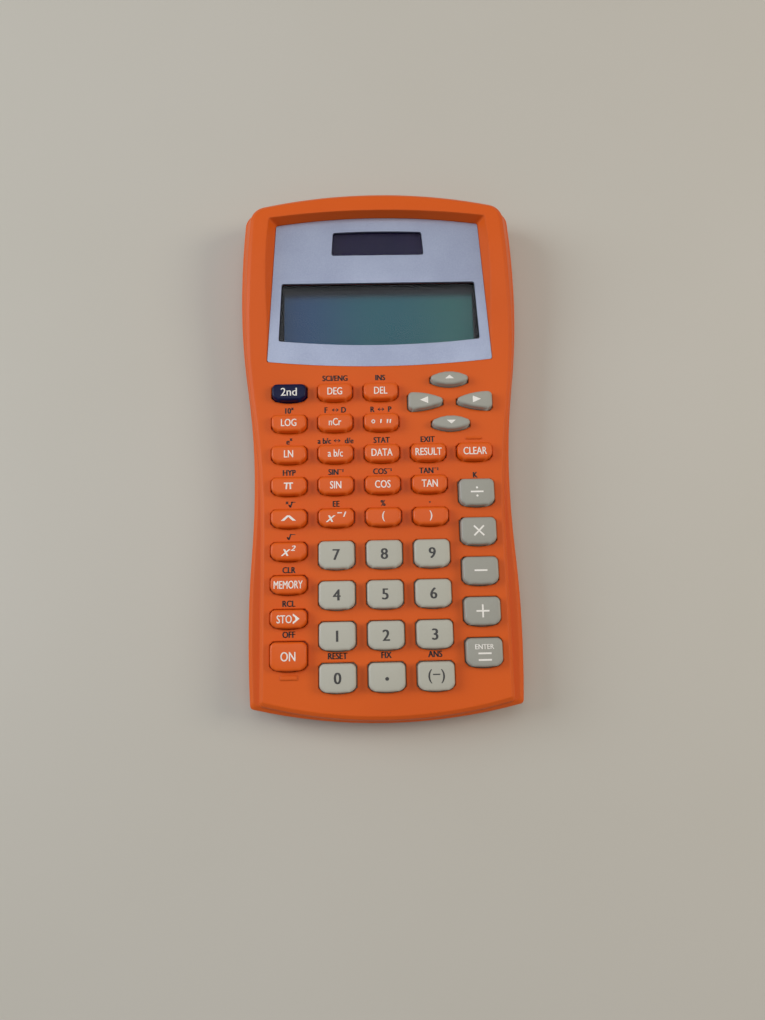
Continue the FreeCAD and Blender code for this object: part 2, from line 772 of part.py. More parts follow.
def front_housing():
    """Front moulding: flank, deck, display recess, key openings, bosses and a rebate for the lip."""
    body = new_body("front_housing")
    bevelled_slab(body, "flank", "0", "flank_bevel", FLANK_TOP, PARTING)
    combine(body, "with_deck", raised_deck(), "Fuse")

    seat = outline(body, "bezel_plan", panel_outline("bezel", "bezel_clearance"), ABOVE)
    pocket(body, "bezel_seat", seat, f"{ABOVE} - {BEZEL_SEAT}")
    slope_foot = outline(body, "recess_foot", panel_outline("bezel", "bezel_clearance"), BEZEL_TOP)
    slope_top = outline(body, "recess_top", recess_mouth(), f"({RIM} + bezel_sink)")
    loft(body, "recess_slope", slope_foot, slope_top, "Subtractive")
    lens_plan = panel_outline("bezel", "-lens_margin", rounded=False)
    pocket(body, "lens_seat", outline(body, "lens_plan", lens_plan, BEZEL_SEAT), "lens_thickness")
    window = panel_outline("window", "opening_margin", rounded=False)
    pocket(body, "glass_window", outline(body, "glass_opening", window, LENS_SEAT))
    slot_plan = panel_outline("solar", "cell_margin + lens_clearance", rounded=False)
    slot = outline(body, "solar_opening", slot_plan, LENS_SEAT)
    pocket(body, "solar_slot", slot)

    wall = "wall_thickness"
    flank_room = outline(body, "flank_hollow_plan", flank_outline(wall), f"({FLANK_TOP} - {wall})")
    pocket(body, "flank_hollow", flank_room)
    display = outline(body, "display_hollow_plan", deck_outline(wall, wall, wall), DISPLAY_CEILING)
    pocket(body, "display_hollow", display)
    keypad_half = f"(rail_width / 2 - {wall})"
    keypad_foot = f"-(body_length / 2 - bottom_bow - deck_inset - {wall})"
    keypad_head = f"bezel_bottom_y - bezel_bottom_bow - bezel_clearance - {wall}"
    keypad = rectangle(f"-{keypad_half}", keypad_half, keypad_foot, keypad_head)
    pocket(body, "keypad_hollow", outline(body, "keypad_hollow_plan", keypad, CEILING))
    rebate = outline(
        body,
        "lip_rebate_plan",
        flank_outline("wall_thickness - lip_thickness - lip_clearance"),
        f"({PARTING} + lip_height + lip_clearance)",
    )
    pocket(body, "lip_rebate", rebate)

    bosses = rings(body, "case_boss_plan", CASE_SCREWS, "boss_diameter", BOARD_BOTTOM)
    pad(body, "case_bosses", bosses, f"{CEILING} - {BOARD_BOTTOM}")
    board_bosses = rings(body, "board_boss_plan", BOARD_SCREWS, "board_boss_diameter", BOARD_TOP)
    pad(body, "board_bosses", board_bosses, f"{CEILING} - {BOARD_TOP}")
    bore_top = f"({HEAD_SEAT} + screw_reach + hole_clearance)"
    bores = rings(body, "case_bore_plan", CASE_SCREWS, "screw_diameter + thread_clearance", bore_top)
    pocket(body, "case_bores", bores)
    board_bore_top = f"({BOARD_BOTTOM} + board_screw_reach + hole_clearance)"
    board_bore = "board_screw_diameter + thread_clearance"
    pocket(body, "board_bores", rings(body, "board_bore_plan", BOARD_SCREWS, board_bore, board_bore_top))

    for name, x in (("on", "-2 * column_pitch"), ("clear", "2 * column_pitch")):
        bar = centred_rectangle(x, f"{name}_bar_y", f"{name}_bar_length", f"{name}_bar_width")
        pad(body, f"{name}_bar", outline(body, f"{name}_bar_plan", bar, FACE), "bar_height")
    combine(body, "key_openings_cut", key_openings(), "Cut")
    return body


def key_openings():
    """The space of every key opening in the face, a clearance larger than its cap all round."""
    body = new_body("key_openings")
    for block in KEY_BLOCKS:
        name = block["name"]
        cap = key_outline(block["form"], "key_clearance")
        plan = outline(body, f"{name}_plan", placed(cap, block["x"], block["y"], block["half_turns"]), PARTING)
        space = pad(body, f"{name}_space", plan, f"{ABOVE} - {PARTING}")
        if block["rows"] * block["columns"] > 1:
            pattern(body, f"{name}_spaces", [space], block)
    return body


def recess_mouth():
    """Where the sloping recess round the bezel meets the rim: wider at the sides and top only."""
    bottom = ("bezel_bottom_width / 2 + recess_side_lean", "bezel_bottom_y - bezel_clearance")
    top = ("bezel_top_width / 2 + recess_side_lean", "bezel_top_y + recess_top_lean")
    right = [
        (*bottom, None, "panel_corner_radius"),
        (*top, ("bow", "bezel_top_bow"), "panel_corner_radius"),
    ]
    return mirrored(right, ("bow", "bezel_bottom_bow"))


def rear_housing():
    """Rear moulding: a shallow tub with a locating lip, screw posts, board ribs and a well for the cell."""
    body = new_body("rear_housing")
    bevelled_slab(body, "tub", "parting_reveal", "rear_bevel", BACK, PARTING)
    lip = outline(body, "lip_plan", flank_outline("wall_thickness - lip_thickness"), PARTING)
    pad(body, "lip", lip, "lip_height")
    hollow = outline(body, "tub_hollow_plan", flank_outline("wall_thickness"), f"({PARTING} + lip_height)")
    pocket(body, "tub_hollow", hollow, f"{PARTING} + lip_height - {REAR_FLOOR}")
    posts = rings(body, "post_plan", CASE_SCREWS, "post_diameter", REAR_FLOOR)
    pad(body, "posts", posts, "board_clearance")
    for index in range(RIB_COUNT):
        y = f"(rib_y - {index} * rib_pitch)"
        rib = centred_rectangle("0", y, "rib_width", "rib_thickness")
        plan = outline(body, f"rib_plan_{index + 1}", rib, REAR_FLOOR)
        pad(body, f"board_rib_{index + 1}", plan, "board_clearance")
    cell = [("cell_x", "cell_y")]
    bore = "cell_diameter + 2 * cell_play"
    well = rings(body, "well_plan", cell, f"{bore} + 2 * well_wall", REAR_FLOOR, ROUND_SIDES)
    pad(body, "well_ring", well, "well_height")
    well_top = f"({REAR_FLOOR} + well_height)"
    inside = rings(body, "well_bore_plan", cell, bore, well_top, ROUND_SIDES)
    pocket(body, "well_bore", inside, "well_height")
    gate_half = "(contact_width / 2 + cell_play)"
    gate = rectangle(
        f"cell_x - {gate_half}",
        f"cell_x + {gate_half}",
        "cell_y - cell_diameter / 2 - cell_play - well_wall - cell_play",
        "cell_y",
    )
    pocket(body, "well_gate", outline(body, "well_gate_plan", gate, well_top), "well_height")
    holes = rings(body, "case_hole_plan", CASE_SCREWS, "screw_diameter + hole_clearance", BOARD_BOTTOM)
    pocket(body, "case_holes", holes)
    sink = "screw_head_diameter + hole_clearance"
    pocket(body, "counterbores", rings(body, "counterbore_plan", CASE_SCREWS, sink, HEAD_SEAT, ROUND_SIDES))
    recess, level = "foot_diameter + lip_clearance", f"({BACK} + foot_recess)"
    pocket(body, "foot_recesses", rings(body, "foot_recess_plan", FEET, recess, level, FOOT_SIDES))
    return body


# Display ----------------------------------------------------------------------------------------------------

def display_bezel():
    """Silver panel with a window for the glass and a smaller one for the solar cell."""
    body = new_body("display_bezel")
    pad(body, "plate", outline(body, "plate_plan", panel_outline("bezel"), BEZEL_SEAT), "bezel_thickness")
    pocket(body, "glass_view", outline(body, "glass_view_plan", panel_outline("window"), BEZEL_TOP))
    pocket(body, "solar_view", outline(body, "solar_view_plan", panel_outline("solar"), BEZEL_TOP))
    return body


def display_lens():
    """Clear sheet under the bezel, over both windows."""
    body = new_body("display_lens")
    plan = panel_outline("bezel", "-lens_margin - lens_clearance", rounded=False)
    pad(body, "lens", outline(body, "lens_plan_inner", plan, LENS_SEAT), "lens_thickness")
    return body


def solar_cell():
    """Dark glass strip of the solar cell, bonded under the lens in its slot."""
    body = new_body("solar_cell")
    plan = outline(body, "strip_plan", panel_outline("solar", "cell_margin", rounded=False), SOLAR_BOTTOM)
    pad(body, "strip", plan, "solar_thickness")
    return body


def lcd_panel():
    """Two sheets of glass, the upper one longer so that its contacts face the board."""
    body = new_body("lcd_panel")
    half = "glass_width / 2"
    top = "glass_bottom_y + glass_length"
    middle = f"({GLASS_TOP} - glass_thickness / 2)"
    upper = rectangle(f"-{half}", half, "glass_bottom_y", top)
    pad(body, "front_glass", outline(body, "front_glass_plan", upper, middle), "glass_thickness / 2")
    lower = rectangle(f"-{half}", half, "glass_bottom_y + glass_ledge", top)
    back = f"({GLASS_TOP} - glass_thickness)"
    pad(body, "rear_glass", outline(body, "rear_glass_plan", lower, back), "glass_thickness / 2")
    return body


def lcd_frame():
    """Black frame that stands on the board round the glass and laps over its edges."""
    body = new_body("lcd_frame")
    fit = "glass_width / 2 + frame_clearance"
    low, high = "glass_bottom_y - frame_clearance", "glass_bottom_y + glass_length + frame_clearance"
    side = f"({fit} + frame_wall)"
    outer = rectangle(f"-{side}", side, f"{low} - frame_wall", f"{high} + frame_wall")
    pad(body, "frame", outline(body, "frame_plan", outer, BOARD_TOP), f"{FRAME_TOP} - {BOARD_TOP}")
    inner = rectangle(f"-({fit})", fit, low, high)
    pocket(body, "glass_room", outline(body, "glass_room_plan", inner, GLASS_TOP))
    view = rectangle("-aperture_width / 2", "aperture_width / 2", "aperture_bottom_y", "aperture_top_y")
    pocket(body, "aperture", outline(body, "aperture_plan", view, FRAME_TOP))
    return body


def zebra_connector():
    """Striped rubber strip that joins the glass contacts to the board."""
    body = new_body("zebra_connector")
    y = "(glass_bottom_y + glass_ledge / 2)"
    half = "zebra_thickness / 2"
    plan = rectangle("-zebra_width / 2", "zebra_width / 2", f"{y} - {half}", f"{y} + {half}")
    height = f"{GLASS_TOP} - glass_thickness / 2 - {BOARD_TOP}"
    pad(body, "strip", outline(body, "strip_plan", plan, BOARD_TOP), height)
    return body


# Board, membrane and power ----------------------------------------------------------------------------------

def circuit_board():
    """Printed board with the chip under a blob of resin on its rear side."""
    body = new_body("circuit_board")
    plan = outline(body, "board_plan", notched_outline("0", "board_top_y"), BOARD_BOTTOM)
    pad(body, "board", plan, "board_thickness")
    holes = rings(body, "board_hole_plan", BOARD_SCREWS, "board_screw_diameter + hole_clearance", BOARD_TOP)
    pocket(body, "board_holes", holes)
    chip_level = f"({BOARD_BOTTOM} - chip_height)"
    chip = rings(body, "chip_plan", [("chip_x", "chip_y")], "chip_diameter", chip_level)
    pad(body, "chip_resin", chip, "chip_height")
    return body


def key_membrane():
    """Rubber sheet with a hollow springing dome under every key."""
    body = new_body("key_membrane")
    plan = outline(body, "sheet_plan", notched_outline("membrane_inset", "membrane_top_y"), BOARD_TOP)
    pad(body, "rubber_sheet", plan, "membrane_thickness")
    holes = rings(body, "boss_hole_plan", BOARD_SCREWS, "board_boss_diameter + 2 * hole_clearance", SHEET_TOP)
    pocket(body, "boss_holes", holes)
    combine(body, "domes_added", dome_bodies("domes", "0", SHEET_TOP, DOME_TOP), "Fuse")
    room = dome_bodies("dome_rooms", "2 * dome_wall", BOARD_TOP, f"({DOME_TOP} - dome_wall)")
    combine(body, "dome_rooms_cut", room, "Cut")
    return body


def dome_bodies(label, shrink, foot_level, head_level):
    """One four-sided tapering solid for each key, between two levels."""
    body = new_body(label)
    for block in KEY_BLOCKS:
        name = block["name"]
        dome = body.newObject("PartDesign::AdditiveWedge", f"{name}_{label}")
        dome.AttachmentSupport = [(origin_part(body, "XY_Plane"), "")]
        dome.MapMode = "FlatFace"
        dome.AttachmentOffset = Placement(Vector(0, 0, 0), Rotation(Vector(1, 0, 0), 90))
        for axis, place in (("x", block["x"]), ("y", block["y"]), ("z", foot_level)):
            dome.setExpression(f"AttachmentOffset.Base.{axis}", formula(place))
        dome.Ymin = 0
        dome.setExpression("Ymax", formula(f"{head_level} - {foot_level}"))
        for side in ("X", "Z"):
            for edge, sign in (("min", "-"), ("max", "")):
                dome.setExpression(f"{side}{edge}", formula(f"{sign}(dome_base_width - {shrink}) / 2"))
                dome.setExpression(f"{side}2{edge}", formula(f"{sign}(dome_top_width - {shrink}) / 2"))
        document.recompute()
        if block["rows"] * block["columns"] > 1:
            pattern(body, f"{name}_{label}_grid", [dome], block)
    return body


def button_cell():
    """Button cell with its smaller cap upwards."""
    body = new_body("button_cell")
    centre = [("cell_x", "cell_y")]
    can = rings(body, "can_plan", centre, "cell_diameter", CELL_BOTTOM, ROUND_SIDES)
    pad(body, "can", can, "cell_height - cell_cap_height")
    cap_level = f"({CELL_TOP} - cell_cap_height)"
    cap = rings(body, "cap_plan", centre, "cell_cap_diameter", cap_level, ROUND_SIDES)
    pad(body, "cap", cap, "cell_cap_height")
    return body


def battery_contacts():
    """Two bent strips: one under the cell up to the board's rear, one over the cell down to its front."""
    body = new_body("battery_contacts")
    thickness = "contact_thickness"
    reach = "cell_y + cell_cap_diameter / 4"
    landing = "(board_top_y - contact_landing)"
    lower = [
        (landing, REAR_FLOOR, None),
        (reach, REAR_FLOOR, None),
        (reach, CELL_BOTTOM, None),
        (f"{landing} + {thickness}", CELL_BOTTOM, None),
        (f"{landing} + {thickness}", BOARD_BOTTOM, None),
        (landing, BOARD_BOTTOM, None),
    ]
    upper = [
        (landing, BOARD_TOP, None),
        (f"{landing} + {thickness}", BOARD_TOP, None),
        (f"{landing} + {thickness}", CELL_TOP, None),
        (reach, CELL_TOP, None),
        (reach, f"{CELL_TOP} + {thickness}", None),
        (landing, f"{CELL_TOP} + {thickness}", None),
    ]
    for name, profile in (("lower_strip", lower), ("upper_strip", upper)):
        side = outline(body, f"{name}_profile", profile, "cell_x", "YZ_Plane")
        pad(body, name, side, "contact_width", midplane=True)
    return body


def solar_leads():
    """Two short insulated wires from the solar cell, each bent twice, down to the board's front edge."""
    body = new_body("solar_leads")
    bend = "lead_bend_radius"
    board_y = "(board_top_y - lead_diameter)"
    level = f"(({SOLAR_BOTTOM} + {BOARD_TOP}) / 2)"
    way = [
        ("lead_y", SOLAR_BOTTOM, None),
        ("lead_y", f"{level} + {bend}", ("arc", bend, -1)),
        (f"lead_y - {bend}", level, None),
        (f"{board_y} + {bend}", level, ("arc", bend, 1)),
        (board_y, f"{level} - {bend}", None),
        (board_y, BOARD_TOP, None),
    ]
    path = new_sketch(body, "lead_way", "-lead_spacing / 2", "YZ_Plane")
    draw_path(path, way)
    section = rings(body, "lead_section", [("-lead_spacing / 2", "lead_y")], "lead_diameter", SOLAR_BOTTOM, 4)
    wire = body.newObject("PartDesign::AdditivePipe", "lead")
    wire.Profile = section
    wire.Spine = path
    document.recompute()
    pair = body.newObject("PartDesign::LinearPattern", "lead_pair")
    pair.Originals = [wire]
    pair.Direction = (origin_part(body, "X_Axis"), [""])
    pair.setExpression("Length", formula("lead_spacing"))
    pair.Occurrences = 2
    body.Tip = pair
    document.recompute()
    return body


def draw_path(sketch, corners):
    """Draw an open run of lines and arcs, given as for a closed outline."""
    points = [Vector(value(x), value(y), 0) for x, y, edge in corners]
    ends = []
    for index, (x, y, edge) in enumerate(corners[:-1]):
        start, end = points[index], points[index + 1]
        if edge is None:
            sketch.addGeometry(Part.LineSegment(start, end), False)
            ends.append((1, 2))
        else:
            sketch.addGeometry(arc_between(start, end, value(edge[1]), edge[2]), False)
            ends.append((1, 2) if edge[2] > 0 else (2, 1))
            bind(sketch, Sketcher.Constraint("Radius", index, value(edge[1])), edge[1])
        bind(sketch, Sketcher.Constraint("DistanceX", -1, 1, index, ends[index][0], start.x), x)
        bind(sketch, Sketcher.Constraint("DistanceY", -1, 1, index, ends[index][0], start.y), y)
        if index:
            joint = Sketcher.Constraint("Coincident", index - 1, ends[index - 1][1], index, ends[index][0])
            sketch.addConstraint(joint)
    last_x, last_y, edge = corners[-1]
    last = len(corners) - 2
    bind(sketch, Sketcher.Constraint("DistanceX", -1, 1, last, ends[last][1], points[-1].x), last_x)
    bind(sketch, Sketcher.Constraint("DistanceY", -1, 1, last, ends[last][1], points[-1].y), last_y)


# Fasteners and feet -----------------------------------------------------------------------------------------

def case_screws():
    """Six self-tapping screws, sunk in the rear housing and holding in the front housing's bosses."""
    body = new_body("case_screws")
    head_level = f"({HEAD_SEAT} - screw_head_height)"
    heads = rings(body, "head_plan", CASE_SCREWS, "screw_head_diameter", head_level, ROUND_SIDES)
    pad(body, "heads", heads, "screw_head_height")
    shanks = rings(body, "shank_plan", CASE_SCREWS, "screw_diameter", HEAD_SEAT)
    pad(body, "shanks", shanks, "screw_reach")
    return body


def board_screws():
    """Four small screws that hold the board and the membrane to the front housing."""
    body = new_body("board_screws")
    head_level = f"({BOARD_BOTTOM} - board_head_height)"
    heads = rings(body, "head_plan", BOARD_SCREWS, "board_head_diameter", head_level)
    pad(body, "heads", heads, "board_head_height")
    shanks = rings(body, "shank_plan", BOARD_SCREWS, "board_screw_diameter", BOARD_BOTTOM)
    pad(body, "shanks", shanks, "board_screw_reach")
    return body


def rubber_feet():
    """Four round feet stuck in recesses of the rear housing."""
    body = new_body("rubber_feet")
    plan = rings(body, "foot_plan", FEET, "foot_diameter", "0", FOOT_SIDES)
    pad(body, "feet", plan, "foot_proud + foot_recess")
    return body


# Keys -------------------------------------------------------------------------------------------------------

def key_form(form):
    """One cap of a form about the origin: cap, retaining flange and the post that presses its dome."""
    body = new_body(f"{form}_key_form")
    pad(body, "cap", outline(body, "cap_plan", key_outline(form), FLANGE_TOP), f"{KEY_TOP} - {FLANGE_TOP}")
    width, length = key_sizes(form)
    half_width, half_length = f"({width} / 2 + flange_width)", f"({length} / 2 + flange_width)"
    flange = rectangle(f"-{half_width}", half_width, f"-{half_length}", half_length)
    pad(body, "flange", outline(body, "flange_plan", flange, FLANGE_BOTTOM), "flange_thickness")
    half = "(plunger_width / 2)"
    post = rectangle(f"-{half}", half, f"-{half}", half)
    foot = f"({DOME_TOP} + plunger_gap)"
    pad(body, "plunger", outline(body, "plunger_plan", post, foot), f"{FLANGE_BOTTOM} - {foot}")
    return body


def key_caps():
    """Every key as a copy of its form, set in the grid."""
    forms = {form: key_form(form) for form in ("function", "large", "vertical_arrow", "side_arrow")}
    keys = []
    for block in KEY_BLOCKS:
        for index, key in enumerate(block["keys"]):
            row, column = divmod(index, block["columns"])
            body = new_body(f"key_{key}")
            body.BaseFeature = forms[block["form"]]
            body.Placement = Placement(Vector(0, 0, 0), Rotation(Vector(0, 0, 1), 180 * block["half_turns"]))
            body.setExpression("Placement.Base.x", formula(f"{block['x']} + {column} * column_pitch"))
            body.setExpression("Placement.Base.y", formula(f"{block['y']} - {row} * {block['pitch']}"))
            keys.append(body)
    document.recompute()
    return keys


parts = [
    front_housing(),
    rear_housing(),
    display_bezel(),
    display_lens(),
    solar_cell(),
    lcd_panel(),
    lcd_frame(),
    zebra_connector(),
    circuit_board(),
    key_membrane(),
    button_cell(),
    battery_contacts(),
    solar_leads(),
    case_screws(),
    board_screws(),
    rubber_feet(),
    *key_caps(),
]
document.recompute()

for item in document.Objects:
    if "Invalid" in item.State or "Error" in item.State:
        raise RuntimeError(f"{item.Label} has not been built: {item.State}")
for part in parts:
    if part.Shape.isNull() or not part.Shape.isValid():
        raise RuntimeError(f"{part.Label} is not a sound solid")

os.makedirs("parts", exist_ok=True)
for part in parts:
    part.Shape.exportStep(os.path.join("parts", f"{part.Label}.step"))
    print(part.Label, len(part.Shape.Solids), round(part.Shape.Volume, 1))
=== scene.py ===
import json
import math

import bpy
import numpy as np
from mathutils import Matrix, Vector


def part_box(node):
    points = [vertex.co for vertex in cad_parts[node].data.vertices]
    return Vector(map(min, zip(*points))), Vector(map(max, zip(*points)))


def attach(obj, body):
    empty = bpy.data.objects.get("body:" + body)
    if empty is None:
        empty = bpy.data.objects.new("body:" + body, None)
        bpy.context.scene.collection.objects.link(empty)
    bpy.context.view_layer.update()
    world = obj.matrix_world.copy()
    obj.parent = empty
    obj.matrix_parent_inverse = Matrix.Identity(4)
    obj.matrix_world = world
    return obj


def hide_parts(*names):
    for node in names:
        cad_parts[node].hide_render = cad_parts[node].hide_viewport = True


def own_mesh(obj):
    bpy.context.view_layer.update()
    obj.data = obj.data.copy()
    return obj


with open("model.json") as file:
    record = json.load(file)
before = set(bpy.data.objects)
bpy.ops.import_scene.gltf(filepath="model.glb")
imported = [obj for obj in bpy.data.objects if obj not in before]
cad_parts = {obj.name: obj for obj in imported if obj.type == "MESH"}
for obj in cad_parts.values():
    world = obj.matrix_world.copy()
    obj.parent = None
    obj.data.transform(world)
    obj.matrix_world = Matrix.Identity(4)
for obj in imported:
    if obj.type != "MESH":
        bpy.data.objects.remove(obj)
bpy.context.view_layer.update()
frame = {"nodes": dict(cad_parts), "record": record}
MM = 0.001


# Front housing: one injection moulding in opaque orange ABS, with a fine spark-eroded grain all over.
# It carries the key openings, the sloping recess round the display and the screw bosses inside.

def colour(red, green, blue):
    """Linear colour from display bytes: each is divided by 255 and raised to the power 2.2."""
    return (*(np.array([red, green, blue]) / 255) ** 2.2, 1.0)


def add(tree, kind, sockets=None, **settings):
    """Add a shader node; its sockets, by name or number, take a value or are linked from another socket."""
    made = tree.nodes.new("ShaderNode" + kind)
    for name, value in settings.items():
        setattr(made, name, value)
    for name, value in (sockets or {}).items():
        if isinstance(value, bpy.types.NodeSocket):
            tree.links.new(value, made.inputs[name])
        else:
            made.inputs[name].default_value = value
    return made


def finish_group(name, inputs, outputs):
    """An empty shader node group with its inputs and their usual values, and its outputs."""
    tree = bpy.data.node_groups.new(name, "ShaderNodeTree")
    for label, value in inputs.items():
        kind = "NodeSocketFloat" if isinstance(value, float) else "NodeSocketColor"
        tree.interface.new_socket(label, in_out="INPUT", socket_type=kind).default_value = value
    for label in outputs:
        kind = {"Base Color": "NodeSocketColor", "Normal": "NodeSocketVector"}.get(label, "NodeSocketFloat")
        tree.interface.new_socket(label, in_out="OUTPUT", socket_type=kind)
    given = tree.nodes.new("NodeGroupInput").outputs
    return tree, given, tree.nodes.new("NodeGroupOutput").inputs


def finish(name, group, values, **constants):
    """A material: a Principled shader fed by a group whose outputs have the names of the shader's sockets."""
    material = bpy.data.materials.new(name)
    material.use_nodes = True
    tree = material.node_tree
    shader = tree.nodes["Principled BSDF"]
    effect = tree.nodes.new("ShaderNodeGroup")
    effect.node_tree = group
    for label, value in values.items():
        effect.inputs[label].default_value = value
    for output in effect.outputs:
        tree.links.new(output, shader.inputs[output.name])
    for label, value in constants.items():
        shader.inputs[label.replace("_", " ")].default_value = value
    return material


def dress(material, *nodes):
    """Give CAD nodes a material."""
    for name in nodes:
        for material_slot in frame["nodes"][name].material_slots:
            material_slot.material = material


def moulded_grain():
    """Moulded plastic or rubber: a slow drift between two tones, a fine pitted grain and softened edges."""
    tree, given, out = finish_group(
        "moulded_grain",
        {"Tone": (0.5, 0.5, 0.5, 1), "Other Tone": (0.4, 0.4, 0.4, 1), "Drift Scale": 22.0,
         "Grain Scale": 2600.0, "Grain Depth": 0.00001, "Gloss Low": 0.4, "Gloss High": 0.55,
         "Edge Radius": 0.0},
        ["Base Color", "Roughness", "Normal"])
    place = add(tree, "TexCoord").outputs["Object"]
    drift = add(tree, "TexNoise", {"Vector": place, "Scale": given["Drift Scale"], "Detail": 2.0})
    grain = add(tree, "TexNoise", {"Vector": place, "Scale": given["Grain Scale"], "Detail": 3.0,
                                   "Roughness": 0.6})
    speck = add(tree, "Math", {0: grain.outputs[0], 1: 0.25}, operation="MULTIPLY")
    share = add(tree, "Math", {0: drift.outputs[0], 1: speck.outputs[0]}, operation="ADD")
    spread = add(tree, "MapRange", {"Value": share.outputs[0], "From Min": 0.4, "From Max": 0.85})
    tone = add(tree, "Mix", {0: spread.outputs[0], 6: given["Tone"], 7: given["Other Tone"]},
               data_type="RGBA")
    gloss = add(tree, "MapRange", {"Value": grain.outputs[0], "From Min": 0.3, "From Max": 0.7,
                                   "To Min": given["Gloss Low"], "To Max": given["Gloss High"]})
    edge = add(tree, "Bevel", {"Radius": given["Edge Radius"]}, samples=6)
    bump = add(tree, "Bump", {"Height": grain.outputs[0], "Distance": given["Grain Depth"],
                              "Normal": edge.outputs[0]})
    tree.links.new(tone.outputs[2], out["Base Color"])
    tree.links.new(gloss.outputs[0], out["Roughness"])
    tree.links.new(bump.outputs[0], out["Normal"])
    return tree


MOULDED = moulded_grain()
ORANGE, DEEP_ORANGE = colour(216, 92, 24), colour(208, 86, 20)
orange_abs = finish("orange_abs", MOULDED, {
    "Tone": ORANGE, "Other Tone": DEEP_ORANGE, "Grain Depth": 0.000012, "Gloss Low": 0.38, "Gloss High": 0.5,
    "Edge Radius": 0.0006}, Specular_IOR_Level=0.25)
dress(orange_abs, "front_housing")


# Rear housing: the matching tray moulding in the same orange ABS, ribbed inside, with screw wells, foot
# recesses and a lip that the front housing drops over. Its grain is a little coarser and duller.

orange_rear_abs = finish("orange_rear_abs", MOULDED, {
    "Tone": colour(208, 88, 24), "Other Tone": colour(200, 82, 20), "Grain Scale": 1900.0,
    "Grain Depth": 0.000018, "Gloss Low": 0.46, "Gloss High": 0.6, "Edge Radius": 0.0008},
    Specular_IOR_Level=0.25)
dress(orange_rear_abs, "rear_housing")


# Feet: four black rubber discs, punched from sheet. They are glued into shallow round recesses in the back
# and stand a little proud of it, so that the calculator doesn't slide on a desk.

foot_rubber = finish("foot_rubber", MOULDED, {
    "Tone": colour(44, 44, 46), "Other Tone": colour(34, 34, 36), "Drift Scale": 90.0, "Grain Scale": 1500.0,
    "Grain Depth": 0.00003, "Gloss Low": 0.7, "Gloss High": 0.88, "Edge Radius": 0.0003})
dress(foot_rubber, "rubber_feet")


# Case screws: six self-tapping steel screws with pan heads and cross recesses, blackened, that come up
# through wells in the back and bite into bosses under the front.

def worn_metal():
    """Bare or lacquered metal: a fine streaked speckle in tone and gloss, and a faint relief."""
    tree, given, out = finish_group(
        "worn_metal",
        {"Tone": (0.5, 0.5, 0.5, 1), "Other Tone": (0.4, 0.4, 0.4, 1), "Speck Scale": 1800.0, "Streak": 1.0,
         "Relief": 0.000002, "Gloss Low": 0.25, "Gloss High": 0.4},
        ["Base Color", "Roughness", "Normal"])
    place = add(tree, "TexCoord").outputs["Object"]
    reach = add(tree, "CombineXYZ", {0: given["Streak"], 1: 1.0, 2: 1.0})
    drawn = add(tree, "VectorMath", {0: place, 1: reach.outputs[0]}, operation="MULTIPLY")
    speck = add(tree, "TexNoise", {"Vector": drawn.outputs[0], "Scale": given["Speck Scale"], "Detail": 2.0})
    cloud = add(tree, "TexNoise", {"Vector": place, "Scale": 60.0, "Detail": 3.0})
    blend = add(tree, "Math", {0: speck.outputs[0], 1: cloud.outputs[0]}, operation="ADD")
    spread = add(tree, "MapRange", {"Value": blend.outputs[0], "From Min": 0.75, "From Max": 1.25})
    tone = add(tree, "Mix", {0: spread.outputs[0], 6: given["Tone"], 7: given["Other Tone"]},
               data_type="RGBA")
    gloss = add(tree, "MapRange", {"Value": spread.outputs[0], "To Min": given["Gloss Low"],
                                   "To Max": given["Gloss High"]})
    bump = add(tree, "Bump", {"Height": speck.outputs[0], "Distance": given["Relief"]})
    tree.links.new(tone.outputs[2], out["Base Color"])
    tree.links.new(gloss.outputs[0], out["Roughness"])
    tree.links.new(bump.outputs[0], out["Normal"])
    return tree


def grid_mesh(name, *skins):
    """Closed skins over rows of points in one mesh, each row a loop that runs anticlockwise about the way the
    rows go. The first and the last row of a skin are closed by fans to their middles."""
    points, faces, offset = [], [], 0
    for rows in skins:
        count, across = rows.shape[:2]
        here = np.arange(count * across).reshape(count, across) + offset
        following = np.roll(here, -1, axis=1)
        quads = np.stack([here[:-1], following[:-1], following[1:], here[1:]], axis=-1).reshape(-1, 4)
        start, end = offset + count * across, offset + count * across + 1
        first = np.stack([np.full(across, start), following[0], here[0]], axis=-1)
        last = np.stack([np.full(across, end), here[-1], following[-1]], axis=-1)
        points += [rows.reshape(-1, 3), [rows[0].mean(axis=0), rows[-1].mean(axis=0)]]
        faces += quads.tolist() + first.tolist() + last.tolist()
        offset = end + 1
    mesh = bpy.data.meshes.new(name)
    mesh.from_pydata(np.concatenate(points).tolist(), [], faces)
    return mesh


def piece(name, mesh, material, body):
    """Link a finished mesh as a piece with its material, riding on a body."""
    mesh.name = name
    mesh.materials.append(material)
    made = bpy.data.objects.new(name, mesh)
    bpy.context.scene.collection.objects.link(made)
    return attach(made, body)


SCREW_PLACES = [(side * x, y) for x, y in ((34.6, 61.0), (34.0, 20.4), (27.5, -69.6)) for side in (-1, 1)]
SCREW_COLUMNS = 48
SHANK_STEPS, THREAD_PHASE = 40, 22.0
SHANK_RADIUS, THREAD_DEPTH = 0.82, 0.15
CROSS_ARM, CROSS_HALF_WIDTH = 1.1, 0.32
HEAD_PROFILE = ((1.88, 1.32), (1.9, 1.22), (1.9, 0.45), (1.82, 0.22), (1.62, 0.08), (1.35, 0.02))
RECESS_PROFILE = ((1.0, 0.0), (0.92, 0.5), (0.45, 0.85))


